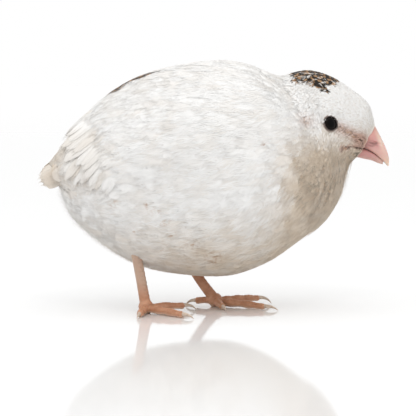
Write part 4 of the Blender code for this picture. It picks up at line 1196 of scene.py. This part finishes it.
def bill_tone(points, turn, least=0.0):
    """Shares of dark and pale on the bill: painted shade at the jaws' edges, in the slit and round the flap's
    lower and rear side, darker at the base; and a painted highlight in a band down the ridge."""
    x, z = points[:, 0], points[:, 2]
    # Painted shade along the jaws' edges, where they meet.
    edge = np.concatenate((blend_step(np.abs(turn).ravel(), 0.80 * PI, 0.9 * PI), (0.0, 0.0)))
    base = spot(x, z, (55.6, 61.6), (1.8, 2.6))
    # Painted shade in the nostril slit.
    slit = spot(x, z + 0.35 * (x - 58.6), (58.6, 61.6), (2.2, 0.45))
    flap = np.hypot((x - 58.3) / 2.4, (z - 63.6) / 2.9)
    # Painted shade round the flap's lower and rear side.
    rim = bell(flap, 1.0, 0.16) * blend_step(62.8 - z + 0.5 * (58.3 - x), -1.2, 0.8)
    dark = np.maximum(np.maximum(0.85 * edge, 0.5 * rim), np.maximum(0.65 * base, 0.75 * slit))
    dark = np.maximum(dark, least)
    # Painted highlight: a pale band down the ridge.
    pale = 0.85 * spot(x - 0.35 * (62.6 - z), z, (61.6, 62.2), (1.1, 4.2)) * (1 - dark)
    return shares_of(dark, pale)


def build_bill():
    """Both jaws as closed tubes; the upper is pushed out at the nostril flap and in along its slit."""
    v, turn = np.meshgrid(np.linspace(BILL_ROOT, 5.0, 90), np.linspace(-PI, PI, 97)[:-1], indexing="ij")
    upper = bill_half(UPPER_BILL, "top", v, turn)
    x, z = upper[..., 0], upper[..., 2]
    slit = spot(x, z + 0.35 * (x - 59.6), (59.6, 61.9), (1.6, 0.38))
    upper[..., 1] += np.sign(upper[..., 1]) * (0.95 * spot(x, z, FLAP, FLAP_SIZE) - 0.9 * slit)
    points, tris = closed_tube(upper)
    horn = bill_material("bill horn", UPPER_TIP, 0.067, 0.0535)
    piece = make_piece("bill_top", points, face_outwards(points, tris), horn,
                       attributes={"tone": bill_tone(points, turn)})
    finish_piece(piece, "bill", "bill_upper")
    v, turn = np.meshgrid(np.linspace(BILL_ROOT, 4.0, 70), np.linspace(-PI, PI, 81)[:-1], indexing="ij")
    points, tris = closed_tube(bill_half(LOWER_BILL, "bottom", v, turn))
    horn = bill_material("lower bill horn", LOWER_TIP, 0.060, 0.0535)
    piece = make_piece("bill_bottom", points, face_outwards(points, tris), horn,
                       attributes={"tone": bill_tone(points, turn, least=0.2)})
    finish_piece(piece, "bill", "bill_lower")


# Eyes and lids

LID_HIGH, LID_PROUD = 0.30, 0.18
LID_FALL, LID_SUNK = (2.6, 3.6), 0.95


def eye_material():
    """A wet dark eye: nearly black pupil and a faint brown iris round it, by distance from the eye's axis."""
    made, tree, shader = new_material("wet eye", 0.05)
    parts, _ = read_shares(tree, "disc")
    colour = ramp(tree, parts["Red"], (0.0, (0.002, 0.002, 0.002)), (0.36, (0.003, 0.002, 0.002)),
                  (0.42, (0.008, 0.005, 0.004)), (1.0, (0.006, 0.004, 0.003)))
    tree.links.new(colour, shader.inputs["Base Color"])
    shader.inputs["Specular IOR Level"].default_value = 0.07
    return made


def lid_material():
    """Dark bare rim of the lids, turning pale brown outwards, finely wrinkled."""
    made, tree, shader = new_material("bare lids", 0.55)
    parts, _ = read_shares(tree, "disc")
    colour = ramp(tree, parts["Red"], (0.0, (0.030, 0.022, 0.020)), (0.35, (0.075, 0.050, 0.042)),
                  (0.75, (0.30, 0.24, 0.20)), (1.0, (0.52, 0.45, 0.40)))
    fine = noise(tree, object_place(tree), 2600.0, 3.0)
    colour = mix_colour(tree, 0.35, colour, ramp(tree, fine, (0.3, 0.45), (0.7, 1.3)), "MULTIPLY")
    tree.links.new(colour, shader.inputs["Base Color"])
    set_relief(tree, shader, fine, 0.5, 0.00012)
    return made


def side_axes(normal):
    """Forward and upward unit vectors across an outward normal."""
    up = unit(np.array((0.0, 0.0, 1.0)) - normal * normal[2])
    forward = np.cross(up, normal)
    return forward * (1 if forward[0] > 0 else -1), up


def eyeball(centre, normal, forward, up):
    """A sphere about the outward normal, and the sine of each point's angle from that axis."""
    tilt, turn = np.meshgrid(np.linspace(0.02, PI - 0.02, 40), np.linspace(0, 2 * PI, 65)[:-1], indexing="ij")
    out, ahead, over = np.cos(tilt), np.sin(tilt) * np.cos(turn), np.sin(tilt) * np.sin(turn)
    ball = out[..., None] * normal + ahead[..., None] * forward + over[..., None] * up
    return closed_tube(centre + EYE_RADIUS * ball), np.concatenate((np.sin(tilt).ravel(), (0.0, 0.0)))


def lid_ring(face, normal, forward, up):
    """A rounded ring on the eyeball: a circle carried round an opening drawn out to the front and rear.

    Its height falls with the sphere, and further out with a smooth step into the plumage."""
    v, turn = np.meshgrid(np.linspace(0, 2 * PI, 25)[:-1], np.linspace(0, 2 * PI, 121)[:-1], indexing="ij")
    corner = np.zeros_like(turn)
    for angle, drawn in ((-28, 0.42), (158, 0.30)):
        corner += drawn * bell(np.angle(np.exp(1j * (turn - math.radians(angle)))), 0.0, 0.30)
    opening = EYE_OPENING + corner - 0.08 * np.cos(2 * turn)
    reach = opening + (0.44 - 0.12 * corner) * (1 - np.cos(v))
    sag = EYE_RADIUS - np.sqrt(np.maximum(EYE_RADIUS ** 2 - reach ** 2, 0))
    outer = blend_step(reach, *LID_FALL)
    lift = LID_PROUD + LID_HIGH * np.sin(v) - 0.10 * (reach - 2.3)
    lift = lift + EYE_PROUD - sag * (1 - outer) - outer * LID_SUNK
    ahead = np.cos(turn)[..., None] * forward / math.sqrt(abs(normal[1]))
    ring = face + reach[..., None] * (ahead + np.sin(turn)[..., None] * up) + lift[..., None] * normal
    closed = np.concatenate((ring, ring[:1]))
    quads = grid_quads(len(closed), ring.shape[1], True) % ring[..., 0].size
    return (ring.reshape(-1, 3), halve_quads(quads)), np.clip((reach - opening) / 0.85, 0, 1).ravel()


def build_eyes():
    """Each eye is a sphere set in the head; each pair of lids is a rounded ring with an almond opening."""
    wet, bare = eye_material(), lid_material()
    for label, side in (("right", -1), ("left", 1)):
        face, normal = eye_face(side)
        forward, up = side_axes(normal)
        (points, tris), share = eyeball(face + normal * (EYE_PROUD - EYE_RADIUS), normal, forward, up)
        piece = make_piece(f"eyeball_{label}", points, face_outwards(points, tris), wet,
                           attributes={"disc": shares_of(share, share, share)})
        finish_piece(piece, "eye", f"eye_{label}")
        (points, tris), share = lid_ring(face, normal, forward, up)
        piece = make_piece(f"lids_{label}", points, face_outwards(points, tris), bare,
                           attributes={"disc": shares_of(share, share, share)})
        finish_piece(piece, "white plumage")


# Legs and claws

LEG_DARK, LEG_LIGHT = (0.43, 0.195, 0.105), (0.58, 0.30, 0.18)
PAD_TONE, PALE_SHANK = (0.64, 0.42, 0.30), (0.53, 0.38, 0.29)
SCUTE_LENGTH = {"shank": 1.7, "toe": 1.25}
SCUTE_HEIGHT = 0.17
VOXEL, SOFTENING_ROUNDS = 0.22, 6


def tube_rings(centres, across, upright, around):
    """A tube's rings: ellipses across the path, level axis first."""
    path = unit(np.gradient(centres, axis=0))
    level = np.cross(path, (0.0, 0.0, 1.0))
    steep = np.linalg.norm(level, axis=-1) < 0.25
    level[steep] = np.array((0.0, 1.0, 0.0)) - path[steep] * path[steep][:, 1:2]
    level = unit(level)
    up = np.cross(level, path)
    turn = (np.arange(around) + 0.5) * 2 * PI / around
    return (centres[:, None, :] + level[:, None, :] * (across[:, None] * np.cos(turn))[..., None]
            + up[:, None, :] * (upright[:, None] * np.sin(turn))[..., None])


def ball_rings(centre, radius, count=18, around=24):
    """A sphere's rings: circles of the sine of the tilt at heights of its cosine."""
    tilt, turn = np.meshgrid(np.linspace(0.05, PI - 0.05, count), np.arange(around) * 2 * PI / around,
                             indexing="ij")
    ball = (np.sin(tilt) * np.cos(turn), np.sin(tilt) * np.sin(turn), np.cos(tilt))
    return np.asarray(centre) + radius * np.stack(ball, -1)


def toe_way(foot, toe):
    """A toe's start on the floor, its heading, its length and the height of its last joint."""
    heading, length, end_height = TOES[foot][toe]
    ball = SHANKS[foot][2]
    way = np.array((math.cos(math.radians(heading)), math.sin(math.radians(heading)), 0.0))
    return np.array((ball[0], ball[1], 0.0)), way, length, end_height


def toe_line(foot, toe, count):
    """Middle line of a toe and its radii: swollen at the joints, tapering to a rounded end."""
    start, way, length, end_height = toe_way(foot, toe)
    share = np.linspace(0, 1, count)
    start_height = 2.1 if toe == "hind" else 1.75
    height = start_height + (end_height - start_height) * share ** 0.7 + 0.35 * np.sin(PI * share)
    centres = start + way * (length * share)[:, None] + np.array((0, 0, 1.0)) * height[:, None]
    swell = 1 + 0.09 * np.cos(share * TOE_PADS[toe] * 2 * PI)
    radius = TOE_RADIUS * (1.12 - 0.3 * share) * swell
    radius = radius * np.sqrt(np.clip(1 - np.clip((share - 0.93) / 0.07, 0, 0.97) ** 2, 0, 1))
    return centres, radius


def leg_material():
    """Scaled skin: pinkish brown, paler on the pads, darker between the scutes, from the scute attribute."""
    made, tree, shader = new_material("scaled skin", 0.5)
    parts, _ = read_shares(tree, "scute")
    place = object_place(tree)
    colour = ramp(tree, noise(tree, place, 350.0, 3.0), (0.3, LEG_DARK), (0.7, LEG_LIGHT))
    colour = mix_colour(tree, parts["Green"], colour, PAD_TONE)
    colour = mix_colour(tree, parts["Blue"], colour, PALE_SHANK)
    colour = mix_colour(tree, 1.0, colour, ramp(tree, parts["Red"], (0.0, 0.5), (0.5, 1.0)), "MULTIPLY")
    tree.links.new(colour, shader.inputs["Base Color"])
    grain = add(tree, "ShaderNodeTexVoronoi", {"Vector": place, "Scale": 1500.0})
    set_relief(tree, shader, grain.outputs["Distance"], 0.35, 0.00012)
    set_flesh(shader, 0.15, (1.0, 0.4, 0.3), 0.001)
    return made


def nearest_on(line, points):
    """For each point: distance along a line's nearest stretch, distance off it, and its share upwards."""
    best = np.full(len(points), 1e9)
    along, over = np.zeros(len(points)), np.zeros(len(points))
    done = 0.0
    for a, b in zip(line[:-1], line[1:]):
        run = b - a
        size = np.linalg.norm(run)
        t = np.clip((points - a) @ run / size ** 2, 0, 1)
        off = points - a - run * t[:, None]
        gap = np.linalg.norm(off, axis=1)
        closer = gap < best
        best = np.where(closer, gap, best)
        along = np.where(closer, done + t * size, along)
        over = np.where(closer, off[:, 2] / np.maximum(gap, 1e-6), over)
        done += size
    return along, best, over


def foot_tubes(foot):
    """The closed tubes of shank, ball and toes, and the middle line of each."""
    joints = np.array(SHANKS[foot])
    path = smooth_rows(joints, np.linspace(0, 2, 40))
    thin = 1 - 0.10 * np.sin(PI * np.linspace(0, 1, 40))
    tubes = [tube_rings(path, 1.7 * thin, 2.05 * thin, 28),
             ball_rings((*joints[2][:2], BALL_HEIGHT), BALL_RADIUS)]
    lines = {"shank": path}
    for toe in TOES[foot]:
        centres, radius = toe_line(foot, toe, 60)
        lines[toe] = centres
        tubes.append(tube_rings(centres, radius, radius, 24))
    points, tris, start = [], [], 0
    for rings in tubes:
        p, t = closed_tube(rings)
        points.append(p)
        tris.append(face_outwards(p, t) + start)
        start += len(p)
    return np.vstack(points), np.vstack(tris), lines


def fuse_skin(piece):
    """Fuses a piece's tubes into one smooth skin; gives its mesh, points in millimetres and normals."""
    fuse = piece.modifiers.new("fuse", "REMESH")
    fuse.mode = "VOXEL"
    fuse.voxel_size = VOXEL * MM
    soften = piece.modifiers.new("soften", "SMOOTH")
    soften.factor = 0.5
    soften.iterations = SOFTENING_ROUNDS
    mesh = bpy.data.meshes.new_from_object(piece.evaluated_get(bpy.context.evaluated_depsgraph_get()))
    piece.modifiers.clear()
    piece.data = mesh
    mesh.shade_smooth()
    read = []
    for label in ("co", "normal"):
        values = np.empty(len(mesh.vertices) * 3, np.float32)
        mesh.vertices.foreach_get(label, values)
        read.append(values.reshape(-1, 3).astype(float))
    return mesh, read[0] / MM, read[1]


def scute_shares(lines, co, normals):
    """Shares of scute and of pad: waves along each toe's and the shank's line, on the top or front side."""
    nearest = np.full(len(co), 1e9)
    scute = np.ones(len(co))
    pad = np.zeros(len(co))
    for label, line in lines.items():
        along, gap, over = nearest_on(line[::2], co)
        mine = gap < nearest
        nearest = np.where(mine, gap, nearest)
        if label == "shank":
            size, below = SCUTE_LENGTH["shank"], np.zeros(len(co))
            front = blend_step(normals[:, 0], -0.2, 0.3)
        else:
            size, below = SCUTE_LENGTH["toe"], blend_step(-over, 0.2, 0.8)
            front = blend_step(over, -0.1, 0.4)
        plate = np.abs(np.sin(PI * along / size)) ** 0.45
        grain = 0.75 + 0.25 * np.abs(np.sin(PI * along / 0.6) * np.sin(co[:, 1] * 4.5))
        scute = np.where(mine, front * plate + (1 - front) * grain, scute)
        pad = np.where(mine, below, pad)
    return scute, pad


def build_leg(foot, finish):
    """Shank, ball and toes as one skin: tubes fused on a fine grid, then raised in scutes along each line."""
    points, tris, lines = foot_tubes(foot)
    piece = make_piece(f"leg_{foot}", points, tris, finish)
    mesh, co, normals = fuse_skin(piece)
    scute, pad = scute_shares(lines, co, normals)
    co = co + normals * (SCUTE_HEIGHT * (scute - 0.8))[:, None]
    co[:, 2] = np.maximum(co[:, 2], LOWEST)
    mesh.vertices.foreach_set("co", (co * MM).astype(np.float32).ravel())
    pale = 0.85 * blend_step(co[:, 2], 4.0, 14.0) * (foot == "right")
    layer = mesh.attributes.new("scute", "FLOAT_COLOR", "POINT")
    layer.data.foreach_set("color", shares_of(scute, pad, pale).astype(np.float32).ravel())
    mesh.update()
    mesh.materials.clear()
    mesh.materials.append(finish)
    finish_piece(piece, "leg skin", f"shank_{foot}", *(f"toe_{foot}_{toe}" for toe in TOES[foot]))


def claw_material():
    """Pale horn, cloudy with browner patches, with fine grain and a soft gloss."""
    made, tree, shader = new_material("claw horn", 0.35)
    cloud = noise(tree, object_place(tree), 700.0, 4.0)
    colour = ramp(tree, cloud, (0.3, (0.50, 0.38, 0.29)), (0.7, (0.68, 0.56, 0.46)))
    tree.links.new(colour, shader.inputs["Base Color"])
    set_relief(tree, shader, cloud, 0.2, 0.00005)
    return made


def build_claw(foot, toe, finish):
    """A claw: a tapering tube on a path that runs out by a sine and comes down by a cosine to the ground."""
    start, way, length, end_height = toe_way(foot, toe)
    base = start + way * (length - 0.7) + np.array((0, 0, end_height + 0.2))
    share = np.linspace(0, 1, 30)
    reach = CLAW_LENGTH[toe] + 1.0
    centres = base + way * (reach * np.sin(share * 1.25) / math.sin(1.25))[:, None]
    drop = end_height + 0.05
    centres[:, 2] = base[2] + 0.25 * np.sin(PI * share) - drop * (1 - np.cos(share * PI / 2))
    radius = CLAW_RADIUS * np.clip(1 - 0.93 * share ** 1.2, 0.05, 1)
    rings = tube_rings(centres, radius * 0.8, radius, 20)
    rings[..., 2] = np.maximum(rings[..., 2], LOWEST)
    points, tris = closed_tube(rings)
    piece = make_piece(f"nail_{foot}_{toe}", points, face_outwards(points, tris), finish)
    finish_piece(piece, "claw horn", f"claw_{foot}_{toe}")


# Floor, light and camera

FLOOR_HALF = 3000.0
# Lights: name, place and size in metres, power in watts.
LIGHTS = (
    ("overhead", (-0.05, -0.25, 0.9), 0.9, 1.9),
    ("key", (0.04, -0.57, 0.78), 0.25, 0.8),
)
CAMERA_DISTANCE, CAMERA_PITCH = 0.8, math.radians(4.8)
PHOTO_PIXELS, PIXELS_PER_METRE = 416, 2700
SENSOR_WIDTH = 36.0


def build_stage():
    """A pale floor that softly mirrors the bird, soft lights over it, and a white surround."""
    made, tree, shader = new_material("pale floor", 0.07)
    cloud = noise(tree, object_place(tree), 3.0, 2.0)
    tree.links.new(ramp(tree, cloud, (0.0, 0.88), (1.0, 0.90)), shader.inputs["Base Color"])
    shader.inputs["Specular IOR Level"].default_value = 0.5
    corners = FLOOR_HALF * np.array(((-1, -1, 0), (1, -1, 0), (1, 1, 0), (-1, 1, 0)), float)
    floor = make_piece("floor", corners, np.array(((0, 1, 2, 3),)), made, smooth=False)

    world = bpy.data.worlds.new("soft surround")
    bpy.context.scene.world = world
    world.use_nodes = True
    world.node_tree.nodes["Background"].inputs["Color"].default_value = (1.0, 1.0, 1.0, 1.0)
    world.node_tree.nodes["Background"].inputs["Strength"].default_value = 1.0
    for name, place, size, power in LIGHTS:
        light = bpy.data.lights.new(name, "AREA")
        light.size = size
        light.energy = power
        lamp = bpy.data.objects.new(name, light)
        lamp.location = place
        lamp.rotation_euler = (Vector((0, 0, 0.05)) - Vector(place)).to_track_quat("-Z", "Y").to_euler()
        bpy.context.scene.collection.objects.link(lamp)


def build_camera():
    """The photo's view: level with the bird's side, from a little above, drawn close with a long lens."""
    look = Vector((-0.0019, 0.0, 0.0375))
    camera = bpy.data.cameras.new("camera")
    camera.sensor_width = SENSOR_WIDTH
    camera.lens = SENSOR_WIDTH * CAMERA_DISTANCE / math.cos(CAMERA_PITCH) / (PHOTO_PIXELS / PIXELS_PER_METRE)
    camera.clip_start = 0.01
    holder = bpy.data.objects.new("camera", camera)
    holder.location = look + Vector((0, -CAMERA_DISTANCE, CAMERA_DISTANCE * math.tan(CAMERA_PITCH)))
    holder.rotation_euler = (PI / 2 - CAMERA_PITCH, 0, 0)
    bpy.context.scene.collection.objects.link(holder)
    bpy.context.scene.camera = holder


build_camera()
build_stage()
build_skin()
body_plumes()
neck_plumes()
head_feathers()
loose_strands()
for side, label in ((-1, "right"), (1, "left")):
    wing_feathers(side, label)
build_tail()
build_bill()
build_eyes()
scaled, horn = leg_material(), claw_material()
for foot in TOES:
    build_leg(foot, scaled)
    for toe in TOES[foot]:
        build_claw(foot, toe, horn)
bpy.context.scene.view_settings.view_transform = "Standard"
